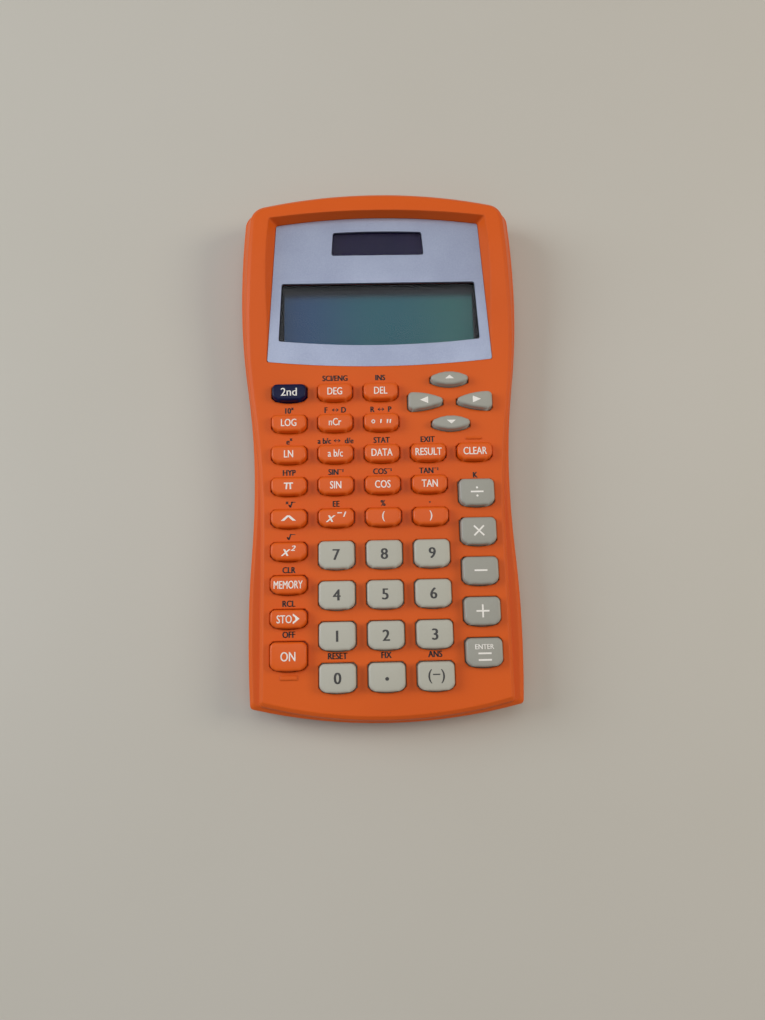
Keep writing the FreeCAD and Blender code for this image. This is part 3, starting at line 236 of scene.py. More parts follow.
def screw_rows(low, high):
    """Rows of a screw, in millimetres, from its point down to its head. The shank's radius swells and shrinks
    once a pitch for the thread, and the recess rows are a cross that the same columns run into."""
    turn = np.linspace(0, 2 * math.pi, SCREW_COLUMNS, endpoint=False) + math.pi / SCREW_COLUMNS
    circle = np.stack([np.cos(turn), -np.sin(turn)], axis=-1)
    size = np.abs(circle)
    on_arm = size.min(axis=1) * CROSS_ARM < CROSS_HALF_WIDTH * size.max(axis=1)
    on_wide_arm = on_arm & (size[:, 0] > size[:, 1])
    side = np.clip(circle * CROSS_ARM, -CROSS_HALF_WIDTH, CROSS_HALF_WIDTH)
    tip = np.sign(circle) * CROSS_ARM
    cross = np.sign(circle) * CROSS_HALF_WIDTH
    cross = np.where(on_arm[:, None], np.stack([side[:, 0], tip[:, 1]], axis=-1), cross)
    cross = np.where(on_wide_arm[:, None], np.stack([tip[:, 0], side[:, 1]], axis=-1), cross)
    share = np.linspace(0, 1, SHANK_STEPS)
    thread = np.abs(np.sin(share * THREAD_PHASE)) * np.minimum(1, 4 * share)
    shank = (SHANK_RADIUS + THREAD_DEPTH * thread) * np.minimum(1, 0.35 + 3 * share)
    neck = low + HEAD_PROFILE[0][1]
    profile = [(radius, high + (neck - high) * step) for radius, step in zip(shank, share)]
    profile += [(radius, low + height) for radius, height in HEAD_PROFILE]
    rows = [np.column_stack([circle * radius, np.full(SCREW_COLUMNS, level)]) for radius, level in profile]
    rows += [np.column_stack([cross * width, np.full(SCREW_COLUMNS, low + height)])
             for width, height in RECESS_PROFILE]
    return np.stack(rows)


screw_low, screw_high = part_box("case_screws")
rows = screw_rows(screw_low.z / MM, screw_high.z / MM)
screws = grid_mesh("screws", *((rows + (x, y, 0)) * MM for x, y in SCREW_PLACES))
faces_each = len(screws.polygons) // len(SCREW_PLACES)
round_faces = (SHANK_STEPS + len(HEAD_PROFILE) - 1) * SCREW_COLUMNS
screws.polygons.foreach_set("use_smooth", np.arange(len(screws.polygons)) % faces_each < round_faces)
METAL = worn_metal()
black_zinc = finish("black_zinc", METAL, {
    "Tone": colour(92, 92, 96), "Other Tone": colour(58, 58, 62), "Gloss Low": 0.3, "Gloss High": 0.5},
    Metallic=1.0)
case_screws = piece("cross_recess_screws", screws, black_zinc, "casing")
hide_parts("case_screws")


# Display bezel: a thin moulded panel, sprayed in a satin silver lacquer with fine flakes, bonded into the
# recess. It frames the solar cell and the display window. Its nameplate is bare.

silver_lacquer = finish("silver_lacquer", METAL, {
    "Tone": colour(158, 165, 184), "Other Tone": colour(149, 156, 177), "Speck Scale": 3400.0,
    "Relief": 0.000003, "Gloss Low": 0.3, "Gloss High": 0.4}, Metallic=0.75)
dress(silver_lacquer, "display_bezel")


# Lens: a clear acrylic sheet cut to the recess. It is glued to the step under the bezel and covers both the
# display and the solar cell.

def faint_haze():
    """A clear sheet's barely uneven surface: only its gloss and its relief change."""
    tree, given, out = finish_group(
        "faint_haze", {"Gloss Low": 0.02, "Gloss High": 0.08}, ["Roughness", "Normal"])
    place = add(tree, "TexCoord").outputs["Object"]
    wave = add(tree, "TexNoise", {"Vector": place, "Scale": 45.0, "Detail": 2.0})
    gloss = add(tree, "MapRange", {"Value": wave.outputs[0], "To Min": given["Gloss Low"],
                                   "To Max": given["Gloss High"]})
    bump = add(tree, "Bump", {"Height": wave.outputs[0], "Distance": 0.00002})
    tree.links.new(gloss.outputs[0], out["Roughness"])
    tree.links.new(bump.outputs[0], out["Normal"])
    return tree


clear_acrylic = finish("clear_acrylic", faint_haze(), {"Gloss Low": 0.02}, Base_Color=colour(235, 245, 245),
                       Transmission_Weight=1.0, IOR=1.49, Alpha=0.25)
dress(clear_acrylic, "display_lens")


# Display gasket: a strip of black foam that lines the edge of the display opening under the lens, so that no
# orange shows beside the glass and no dust gets in.

def outline_points(arcs, columns=6):
    """Centres, radii and directions of points round a convex outline made of arcs, in turn anticlockwise.
    Each arc is (centre x, centre y, radius, start angle, end angle), with a straight edge to the next one."""
    share = np.linspace(0, 1, columns)
    centre = np.repeat([arc[:2] for arc in arcs], columns, axis=0)
    radius = np.repeat([arc[2] for arc in arcs], columns)
    angle = np.concatenate([arc[3] + (arc[4] - arc[3]) * share for arc in arcs])
    return centre, radius, np.stack([np.cos(angle), np.sin(angle)], axis=-1)


def ring_mesh(name, rows):
    """A closed ring over rows of points: the rows close on each other as well as round themselves."""
    count, across = rows.shape[:2]
    here = np.arange(count * across).reshape(count, across)
    below, following = np.roll(here, -1, axis=0), np.roll(here, -1, axis=1)
    quads = np.stack([here, following, np.roll(below, -1, axis=1), below], axis=-1).reshape(-1, 4)
    mesh = bpy.data.meshes.new(name)
    mesh.from_pydata(rows.reshape(-1, 3).tolist(), [], quads.tolist())
    return mesh


def opening_outline(half_top, top, half_bottom, bottom, bow, corner):
    """A window that widens downwards, with round corners and a bowed lower edge."""
    lean = math.atan2(half_bottom - half_top, top - bottom)
    bow_radius = (half_bottom**2 + bow**2) / (2 * bow)
    sweep = math.asin((half_bottom - corner) / (bow_radius - corner))
    quarter = math.pi / 2
    low = bottom - bow + bow_radius - (bow_radius - corner) * math.cos(sweep)
    return outline_points([
        (half_top - corner, top - corner, corner, lean, quarter),
        (corner - half_top, top - corner, corner, quarter, 2 * quarter - lean),
        (corner - half_bottom, low, corner, 2 * quarter - lean, 3 * quarter - sweep),
        (0, bottom - bow + bow_radius, bow_radius, 3 * quarter - sweep, 3 * quarter + sweep),
        (half_bottom - corner, low, corner, 3 * quarter + sweep, 4 * quarter + lean)], columns=9)


GASKET_WIDTH = 0.3 * MM
OPENING_TOP, OPENING_BOTTOM, OPENING_BOW, OPENING_CORNER = 48.77, 29.93, 1.6, 1.0
OPENING_HALF_TOP, OPENING_HALF_BOTTOM = 28.82, 29.67
frame_top, lens_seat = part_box("lcd_frame")[1].z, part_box("display_lens")[0].z
centre, radius, direction = opening_outline(*(size * MM for size in (
    OPENING_HALF_TOP, OPENING_TOP, OPENING_HALF_BOTTOM, OPENING_BOTTOM, OPENING_BOW, OPENING_CORNER)))
rows = []
for inset, level in ((0, frame_top), (0, lens_seat), (GASKET_WIDTH, lens_seat), (GASKET_WIDTH, frame_top)):
    plan = centre + (radius - inset)[:, None] * direction
    rows.append(np.column_stack([plan, np.full(len(plan), level)]))
black_foam = finish("black_foam", MOULDED, {
    "Tone": colour(14, 13, 17), "Other Tone": colour(9, 9, 12), "Grain Depth": 0.00004, "Gloss Low": 0.85,
    "Gloss High": 0.95}, Specular_IOR_Level=0.1)
gasket = piece("display_gasket", ring_mesh("gasket", np.stack(rows)), black_foam, "casing")


# Display: a reflective liquid crystal glass in a black moulded frame that clamps it over the striped
# rubber connector. Its tint turns from blue-grey on the left to green on the right, partly its own colour and
# partly a painted reflection. A painted shadow darkens it along its upper edge, under the window's upper
# wall.

def crystal_tint():
    """Liquid crystal glass: three tints across it, partly its own colour and partly a painted reflection, and
    a painted shadow that darkens it towards its upper edge.
    """
    tree, given, out = finish_group(
        "crystal_tint",
        {"Left Tint": (0.1, 0.1, 0.1, 1), "Middle Tint": (0.1, 0.1, 0.1, 1), "Right Tint": (0.1, 0.1, 0.1, 1),
         "Shade": (0.01, 0.01, 0.01, 1), "Half Width": 0.03, "Top": 0.048, "Shade Depth": 0.004},
        ["Base Color", "Roughness"])
    place = add(tree, "TexCoord").outputs["Object"]
    axes = add(tree, "SeparateXYZ", {0: place}).outputs
    # Left to right tints: partly the glass's own colour and partly a painted reflection.
    side = add(tree, "Math", {0: axes[0], 1: given["Half Width"]}, operation="DIVIDE")
    leftward = add(tree, "MapRange", {"Value": side.outputs[0], "From Min": -0.9, "From Max": 0.0},
                   interpolation_type="SMOOTHSTEP")
    rightward = add(tree, "MapRange", {"Value": side.outputs[0], "From Min": 0.1, "From Max": 0.95},
                    interpolation_type="SMOOTHSTEP")
    left = add(tree, "Mix", {0: leftward.outputs[0], 6: given["Left Tint"], 7: given["Middle Tint"]},
               data_type="RGBA")
    across = add(tree, "Mix", {0: rightward.outputs[0], 6: left.outputs[2], 7: given["Right Tint"]},
                 data_type="RGBA")
    # Painted shadow: towards the upper edge the tint is mixed into a dark colour, where the window's upper
    # wall shades the glass.
    below = add(tree, "Math", {0: given["Top"], 1: axes[1]}, operation="SUBTRACT")
    depth = add(tree, "Math", {0: below.outputs[0], 1: given["Shade Depth"]}, operation="DIVIDE")
    painted_shadow_fade = add(tree, "MapRange", {"Value": depth.outputs[0], "From Min": 0.35, "From Max": 1.0},
              interpolation_type="SMOOTHSTEP")
    mottle = add(tree, "TexNoise", {"Vector": place, "Scale": 4000.0})
    tone = add(tree, "Mix", {0: painted_shadow_fade.outputs[0], 6: given["Shade"], 7: across.outputs[2]}, data_type="RGBA")
    gloss = add(tree, "MapRange", {"Value": mottle.outputs[0], "To Min": 0.3, "To Max": 0.42})
    tree.links.new(tone.outputs[2], out["Base Color"])
    tree.links.new(gloss.outputs[0], out["Roughness"])
    return tree


# The three tints are partly the glass's own colour and partly a painted reflection; the dark colour and its
# depth along the top are a painted shadow.
display_glass = finish("display_glass", crystal_tint(), {
    "Left Tint": colour(38, 70, 108), "Middle Tint": colour(28, 88, 100), "Right Tint": colour(46, 98, 96),
    "Shade": colour(8, 8, 26), "Half Width": 0.028, "Top": 0.0484, "Shade Depth": 0.0046},
    Specular_IOR_Level=0.25)
dress(display_glass, "lcd_panel")

black_frame_plastic = finish("black_frame_plastic", MOULDED, {
    "Tone": colour(20, 19, 26), "Other Tone": colour(15, 14, 20), "Gloss Low": 0.5, "Gloss High": 0.65},
    Specular_IOR_Level=0.12)
dress(black_frame_plastic, "lcd_frame")


def fine_stripes():
    """Stripes across a piece: a narrow line each pitch along its width, over a slowly clouded ground."""
    tree, given, out = finish_group(
        "fine_stripes",
        {"Ground": (0.1, 0.1, 0.1, 1), "Other Ground": (0.1, 0.1, 0.1, 1), "Line": (0.2, 0.2, 0.2, 1),
         "Pitch": 0.001, "Line Share": 0.1, "Gloss": 0.3, "Line Gloss": 0.4},
        ["Base Color", "Roughness"])
    place = add(tree, "TexCoord").outputs["Object"]
    axes = add(tree, "SeparateXYZ", {0: place}).outputs
    turns = add(tree, "Math", {0: axes[0], 1: given["Pitch"]}, operation="DIVIDE")
    phase = add(tree, "Math", {0: turns.outputs[0]}, operation="FRACT")
    line = add(tree, "Math", {0: phase.outputs[0], 1: given["Line Share"]}, operation="LESS_THAN")
    cloud = add(tree, "TexNoise", {"Vector": place, "Scale": 130.0})
    ground = add(tree, "Mix", {0: cloud.outputs[0], 6: given["Ground"], 7: given["Other Ground"]},
                 data_type="RGBA")
    tone = add(tree, "Mix", {0: line.outputs[0], 6: ground.outputs[2], 7: given["Line"]}, data_type="RGBA")
    gloss = add(tree, "MapRange", {"Value": line.outputs[0], "To Min": given["Gloss"],
                                   "To Max": given["Line Gloss"]})
    tree.links.new(tone.outputs[2], out["Base Color"])
    tree.links.new(gloss.outputs[0], out["Roughness"])
    return tree


STRIPED = fine_stripes()
striped_silicone = finish("striped_silicone", STRIPED, {
    "Ground": colour(190, 190, 194), "Other Ground": colour(180, 180, 184), "Line": colour(30, 30, 32),
    "Pitch": 0.0002, "Line Share": 0.5, "Gloss": 0.6, "Line Gloss": 0.7})
dress(striped_silicone, "zebra_connector")


# Solar cell: a dark amorphous cell on glass, divided by thin etched lines. It sits in its own opening under
# the lens and is soldered to two red leads.

cell_glass = finish("cell_glass", STRIPED, {
    "Ground": colour(22, 22, 56), "Other Ground": colour(38, 24, 66), "Line": colour(52, 46, 84),
    "Pitch": 0.00183, "Line Share": 0.08, "Gloss": 0.2, "Line Gloss": 0.35}, Specular_IOR_Level=0.15)
dress(cell_glass, "solar_cell")
red_insulation = finish("red_insulation", MOULDED, {
    "Tone": colour(176, 30, 26), "Other Tone": colour(160, 24, 22), "Gloss Low": 0.35, "Gloss High": 0.45})
dress(red_insulation, "solar_leads")


# Inside: the green board with its solder mask over copper traces, the button cell in its bright can, its
# sprung contacts and the small screws that hold the board to the front housing.

def solder_mask():
    """Solder mask: square-cornered traces stand a hair proud of it and show lighter through it."""
    tree, given, out = finish_group(
        "solder_mask", {"Mask": (0.1, 0.3, 0.1, 1), "Trace": (0.2, 0.4, 0.2, 1), "Trace Scale": 420.0},
        ["Base Color", "Roughness", "Normal"])
    place = add(tree, "TexCoord").outputs["Object"]
    cells = add(tree, "TexVoronoi", {"Vector": place, "Scale": given["Trace Scale"]}, distance="CHEBYCHEV",
                feature="F1")
    trace = add(tree, "MapRange", {"Value": cells.outputs[0], "From Min": 0.42, "From Max": 0.5})
    tone = add(tree, "Mix", {0: trace.outputs[0], 6: given["Mask"], 7: given["Trace"]}, data_type="RGBA")
    gloss = add(tree, "MapRange", {"Value": trace.outputs[0], "To Min": 0.3, "To Max": 0.22})
    bump = add(tree, "Bump", {"Height": trace.outputs[0], "Distance": 0.00003})
    tree.links.new(tone.outputs[2], out["Base Color"])
    tree.links.new(gloss.outputs[0], out["Roughness"])
    tree.links.new(bump.outputs[0], out["Normal"])
    return tree


board_mask = finish("board_mask", solder_mask(), {"Mask": colour(30, 110, 62), "Trace": colour(62, 140, 78)})
dress(board_mask, "circuit_board")
bright_can = finish("bright_can", METAL, {
    "Tone": colour(214, 214, 216), "Other Tone": colour(196, 196, 200), "Gloss Low": 0.18, "Gloss High": 0.3},
    Metallic=1.0)
dress(bright_can, "button_cell")
spring_steel = finish("spring_steel", METAL, {
    "Tone": colour(206, 204, 198), "Other Tone": colour(182, 180, 172), "Streak": 0.1, "Gloss Low": 0.25,
    "Gloss High": 0.42}, Metallic=1.0)
dress(spring_steel, "battery_contacts")
dress(black_zinc, "board_screws")


# Key membrane: one moulding of grey silicone, laid on the board, with an opening and a springy hollow dome
# under each key. A dome folds flat as its key goes down and pushes the key back.

def sheet_mesh(name, outlines, low, high):
    """A flat sheet: the first outline filled, less the others, and as thick as the two levels are apart."""
    plan = bpy.data.curves.new(name, "CURVE")
    plan.dimensions, plan.fill_mode, plan.extrude = "2D", "BOTH", (high - low) / MM / 2
    for outline in outlines:
        spline = plan.splines.new("POLY")
        spline.points.add(len(outline) - 1)
        flat = np.column_stack([outline, np.zeros(len(outline)), np.ones(len(outline))])
        spline.points.foreach_set("co", flat.ravel())
        spline.use_cyclic_u = True
    shape = bpy.data.objects.new(name, plan)
    bpy.context.scene.collection.objects.link(shape)
    settled = shape.evaluated_get(bpy.context.evaluated_depsgraph_get())
    mesh = bpy.data.meshes.new_from_object(settled)
    bpy.data.objects.remove(shape)
    place = np.empty(len(mesh.vertices) * 3)
    mesh.vertices.foreach_get("co", place)
    place = place.reshape(-1, 3) * MM + (0, 0, (low + high) / 2)
    mesh.vertices.foreach_set("co", place.ravel())
    return mesh


def dome_rows(round_turn, low, high):
    """Rows of a thick hollow cup, from inside its ceiling, down and out round its foot, and up over its top.
    Each row is a rounded square: a direction over the fifth root of the sum of its parts' fifth powers."""
    square = round_turn / (np.abs(round_turn) ** 5).sum(axis=1)[:, None] ** 0.2
    profile = ((1.3, high - DOME_WALL), (2.5, low), (3.0, low), (1.98, high - 0.16 * MM),
               (1.84, high - 0.03 * MM), (1.5, high))
    return np.stack([np.column_stack([square * half * MM, np.full(len(square), level)])
                     for half, level in profile])


DOME_COLUMNS = 24
DOME_WALL = 0.5 * MM
KEYS = sorted(node for node in frame["nodes"] if node.startswith("key_") and node != "key_membrane")
SHEET_THICKNESS = 0.6 * MM
NOTCH_WIDTH, NOTCH_LENGTH = 8.7, 5.2
DOME_ROOM = 2.5
BOSS_HOLES = [(side * x, y) for x, y in ((6.5, 19.4), (20.6, -67.5)) for side in (-1, 1)]
BOSS_HOLE_RADIUS = 2.0
grey_silicone = finish("grey_silicone", MOULDED, {
    "Tone": colour(150, 150, 156), "Other Tone": colour(138, 138, 146), "Gloss Low": 0.55, "Gloss High": 0.7})
low, high = (np.array(corner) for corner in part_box("key_membrane"))
sheet_top = low[2] + SHEET_THICKNESS
(left, near), (right, far) = low[:2] / MM, high[:2] / MM
turn = np.linspace(0, 2 * math.pi, DOME_COLUMNS, endpoint=False)
round_turn = np.stack([np.cos(turn), np.sin(turn)], axis=-1)
square = np.array([(-1, -1), (1, -1), (1, 1), (-1, 1)]) * DOME_ROOM
middles = {name: sum(np.array(corner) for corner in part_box(name)) / 2 for name in KEYS}
outlines = [np.array([
    (left + NOTCH_WIDTH, near), (right - NOTCH_WIDTH, near), (right - NOTCH_WIDTH, near + NOTCH_LENGTH),
    (right, near + NOTCH_LENGTH), (right, far), (left, far), (left, near + NOTCH_LENGTH),
    (left + NOTCH_WIDTH, near + NOTCH_LENGTH)])]
outlines += [round_turn * BOSS_HOLE_RADIUS + hole for hole in BOSS_HOLES]
outlines += [square + middle[:2] / MM for middle in middles.values()]
membrane = piece("membrane_sheet", sheet_mesh("sheet", outlines, low[2], sheet_top), grey_silicone, "casing")
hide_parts("key_membrane")
for name, middle in middles.items():
    rows = dome_rows(round_turn, sheet_top, high[2]) + [middle[0], middle[1], 0]
    mesh = grid_mesh(name, rows)
    mesh.polygons.foreach_set("use_smooth", np.ones(len(mesh.polygons), bool))
    dome = piece(name + "_dome", mesh, grey_silicone, "casing")
    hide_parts("key_membrane")
    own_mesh(dome)


# Key caps: 44 separate ABS mouldings, one for each dome of the membrane. Each has a flange that keeps it
# under the front housing and a square plunger; the top is slightly crowned and its edge is rounded.

FLANGE = 0.6 * MM
PLUNGER = 1.5 * MM
KEY_PROUD = 2.2 * MM
FLANGE_DEPTH = 1.9 * MM
FLANGE_THICKNESS = 0.8 * MM
EDGE_ROUNDING = 0.65 * MM
EDGE_STEPS = 7
CROWN = 0.13 * MM
CROWN_ROWS = (0.8, 0.55, 0.3, 0.1)
SKIRT_ROWS = 4


def oblong_outline(half_width, half_length):
    """A straight far edge, straight sides and a bowed near edge, with rounder corners at the near end."""
    far, near, bow = 1.45 * MM, 2.0 * MM, 0.6 * MM
    bow_radius = (half_width**2 + bow**2) / (2 * bow)
    bow_centre = bow_radius - half_length
    inward = half_width - near
    drop = bow_centre - math.sqrt((bow_radius - near) ** 2 - inward**2)
    lean = math.atan2(inward, bow_centre - drop)
    quarter = math.pi / 2
    return outline_points([
        (half_width - far, half_length - far, far, 0, quarter),
        (far - half_width, half_length - far, far, quarter, 2 * quarter),
        (-inward, drop, near, 2 * quarter, 3 * quarter - lean),
        (0, bow_centre, bow_radius, 3 * quarter - lean, 3 * quarter + lean),
        (inward, drop, near, 3 * quarter + lean, 4 * quarter)])


def leaf_outline(half_width, half_length):
    """Two shallow bows that meet in blunt tips at either side."""
    tip, blunt = 0.6 * MM, 1.0 * MM
    bow = half_length - tip
    bow_radius = (half_width**2 + bow**2) / (2 * bow)
    bow_centre = half_length - bow_radius
    inward = half_width - blunt
    rise = bow_centre + math.sqrt((bow_radius - blunt) ** 2 - inward**2)
    lean = math.atan2(rise - bow_centre, inward)
    return outline_points([
        (inward, rise, blunt, 0, lean),
        (0, bow_centre, bow_radius, lean, math.pi - lean),
        (-inward, rise, blunt, math.pi - lean, math.pi),
        (-inward, -rise, blunt, math.pi, math.pi + lean),
        (0, -bow_centre, bow_radius, math.pi + lean, 2 * math.pi - lean),
        (inward, -rise, blunt, 2 * math.pi - lean, 2 * math.pi)])


def wedge_outline(half_width, half_length, way):
    """A rounded square end, with its two long edges bowed together to a blunt tip; way is the tip's side."""
    tip, blunt, corner = 0.6 * MM, 0.92 * MM, 1.2 * MM
    reach, fall = 2 * half_width - corner, half_length - tip
    bow_radius = (reach**2 + fall**2) / (2 * fall)
    bow_centre = half_length - bow_radius
    start = corner - half_width
    inward = half_width - blunt - start
    rise = bow_centre + math.sqrt((bow_radius - blunt) ** 2 - inward**2)
    lean = math.atan2(rise - bow_centre, inward)
    quarter = math.pi / 2
    arcs = [
        (start + inward, rise, blunt, 0, lean),
        (start, bow_centre, bow_radius, lean, quarter),
        (start, half_length - corner, corner, quarter, 2 * quarter),
        (start, corner - half_length, corner, 2 * quarter, 3 * quarter),
        (start, -bow_centre, bow_radius, 3 * quarter, 4 * quarter - lean),
        (start + inward, -rise, blunt, 4 * quarter - lean, 4 * quarter)]
    centre, radius, direction = outline_points(arcs)
    if way < 0:
        centre, radius, direction = (centre * (-1, 1))[::-1], radius[::-1], (direction * (-1, 1))[::-1]
    return centre, radius, direction


def crown_drop(x, y, half_width, half_length):
    """Fall of a cap's top below its middle: the crown times the sum of the squares of the two distances,
    each as a share of its half size."""
    return CROWN * ((x / half_width) ** 2 + (y / half_length) ** 2)


def cap_rows(outline, half_width, half_length, bottom, top):
    """Rows of a cap from its plunger to the middle of its top. Each point is the outline's centre plus its
    radius and the row's offset along its direction; the edge's offset and height follow a quarter circle."""
    centre, radius, direction = outline
    flange_high = top - KEY_PROUD - FLANGE_DEPTH
    flange_low = flange_high - FLANGE_THICKNESS
    square = direction / np.abs(direction).max(axis=1)[:, None] * PLUNGER
    rows = [np.column_stack([square, np.full(len(square), level)]) for level in (bottom, flange_low)]

    def ring(offset, level, scale=1.0):
        plan = (centre + (radius + offset)[:, None] * direction) * scale
        drop = crown_drop(*plan.T, half_width, half_length) if level > flange_high + MM else 0
        return np.column_stack([plan, level - drop + np.zeros(len(plan))])

    rows += [ring(FLANGE, flange_low), ring(FLANGE, flange_high), ring(0, flange_high)]
    for turn in np.linspace(0, math.pi / 2, EDGE_STEPS):
        rows.append(ring(-EDGE_ROUNDING * (1 - math.cos(turn)), top - EDGE_ROUNDING * (1 - math.sin(turn))))
    for scale in CROWN_ROWS:
        rows.append(ring(-EDGE_ROUNDING, top, scale))
    return np.stack(rows)


KEY_FINISHES = {
    "function_keys": finish("orange_cap_abs", MOULDED, {
        "Tone": colour(219, 92, 22), "Other Tone": colour(212, 87, 19), "Grain Depth": 0.000006,
        "Gloss Low": 0.3, "Gloss High": 0.4}, Specular_IOR_Level=0.3),
    "number_keys": finish("pale_cap_abs", MOULDED, {
        "Tone": colour(178, 174, 159), "Other Tone": colour(172, 168, 152), "Grain Depth": 0.000006,
        "Gloss Low": 0.36, "Gloss High": 0.48}),
    "operator_keys": finish("grey_cap_abs", MOULDED, {
        "Tone": colour(156, 153, 141), "Other Tone": colour(149, 146, 134), "Grain Depth": 0.000006,
        "Gloss Low": 0.36, "Gloss High": 0.48}),
    "second_key": finish("navy_cap_abs", MOULDED, {
        "Tone": colour(4, 12, 56), "Other Tone": colour(3, 10, 49), "Grain Depth": 0.000006,
        "Gloss Low": 0.34, "Gloss High": 0.46}, Specular_IOR_Level=0.25),
}
slot_of = {part["node"]: part["material_slot"] for part in frame["record"]["subparts"]}
key_sizes = {}
for name in KEYS:
    low, high = (np.array(corner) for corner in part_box(name))
    middle = (low + high) / 2
    half_width, half_length = (high - low)[:2] / 2 - FLANGE
    if name in ("key_up", "key_down"):
        outline = leaf_outline(half_width, half_length)
    elif name in ("key_left", "key_right"):
        outline = wedge_outline(half_width, half_length, 1 if name == "key_left" else -1)
    else:
        outline = oblong_outline(half_width, half_length)
    rows = cap_rows(outline, half_width, half_length, low[2], high[2]) + [middle[0], middle[1], 0]
    mesh = grid_mesh(name, rows)
    band = np.arange(len(mesh.polygons)) // rows.shape[1]
    mesh.polygons.foreach_set("use_smooth", (band >= SKIRT_ROWS) & (band != len(rows) - 1))
    cap = piece(name + "_cap", mesh, KEY_FINISHES[slot_of[name]], name)
    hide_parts(name)
    key_sizes[name] = middle, half_width, half_length, high[2]


# Legends on the caps: pad-printed in one pass, white on the orange, navy and grey caps and charcoal on the
# pale number caps. The ink follows the crown of each cap. Two signs that a font fills badly are drawn as
# straight strokes, on a square one capital high.

CAP_HEIGHT = 0.688
INK_LIFT = 0.025 * MM
STROKE = 0.15
DRAWN = {
    "π": [((-0.46, 0.34), (0.46, 0.34)), ((-0.2, 0.34), (-0.26, -0.4)), ((0.2, 0.34), (0.24, -0.4))],
    "↔": [((-0.6, 0.0), (0.6, 0.0)), ((-0.28, 0.32), (-0.62, 0.0), (-0.28, -0.32)),
          ((0.28, 0.32), (0.62, 0.0), (0.28, -0.32))],
}


def strokes(paths):
    """A sign in straight strokes, as points and triangles: each stretch is a strip with its own ends."""
    stretches = [(path[step], path[step + 1]) for path in paths for step in range(len(path) - 1)]
    start, end = np.array(stretches).transpose(1, 0, 2)
    along = (end - start) / np.linalg.norm(end - start, axis=1)[:, None] * STROKE / 2
    side = np.stack([-along[:, 1], along[:, 0]], axis=-1)
    start, end = start - along, end + along
    points = np.stack([start - side, end - side, end + side, start + side], axis=1)
    first = np.arange(len(stretches))[:, None, None] * 4
    return points.reshape(-1, 2), (first + [[0, 1, 2], [0, 2, 3]]).reshape(-1, 3)


def lettering(words, height, squeeze, thinning):
    """Flat outline letters about their own middle, as points and triangles: words set at a height of
    capitals, narrowed by the squeeze, with strokes drawn in by the thinning; an x is sloped."""
    if words in DRAWN:
        points, corners = strokes(DRAWN[words])
        return points * (squeeze * height, height), corners
    size = height / CAP_HEIGHT
    text = bpy.data.curves.new("letters", "FONT")
    text.body, text.offset, text.resolution_u = words, -thinning / size, 3
    text.shear = 0.35 if words.startswith("x") else 0.0
    shape = bpy.data.objects.new("letters", text)
    bpy.context.scene.collection.objects.link(shape)
    settled = shape.evaluated_get(bpy.context.evaluated_depsgraph_get())
    mesh = settled.to_mesh()
    mesh.calc_loop_triangles()
    points, corners = np.empty(len(mesh.vertices) * 3), np.empty(len(mesh.loop_triangles) * 3, np.int32)
    mesh.vertices.foreach_get("co", points)
    mesh.loop_triangles.foreach_get("vertices", corners)
    settled.to_mesh_clear()
    bpy.data.objects.remove(shape)
    bpy.data.curves.remove(text)
    points = points.reshape(-1, 3)[:, :2]
    points -= (points.min(axis=0) + points.max(axis=0)) / 2
    return points * (squeeze * size, size), corners.reshape(-1, 3)


def printed(name, marks, level, material, body):
    """Print marks in one piece: each is (words, x, y, height, squeeze, boldness) in metres, on a surface
    whose height over a place is given by the function level. A bold mark is struck twice, its boldness
    apart, and a negative boldness draws the strokes thinner."""
    points, corners, count = [], [], 0
    for words, x, y, height, squeeze, boldness in marks:
        shape, triangles = lettering(words, height, squeeze, max(-boldness, 0))
        for shift in (-boldness / 2, boldness / 2) if boldness > 0 else (0,):
            points.append(shape + (x + shift, y))
            corners.append(triangles + count)
            count += len(shape)
    plan = np.concatenate(points)
    points = np.column_stack([plan, level(*plan.T) + INK_LIFT])
    mesh = bpy.data.meshes.new(name)
    mesh.from_pydata(points.tolist(), [], np.concatenate(corners).tolist())
    return piece(name, mesh, material, body)


def ink(name, tone, other):
    """Printing ink: nearly even, with the fine pits of the plastic under it."""
    return finish(name, MOULDED, {
        "Tone": tone, "Other Tone": other, "Drift Scale": 300.0, "Grain Depth": 0.000004, "Gloss Low": 0.4,
        "Gloss High": 0.5})


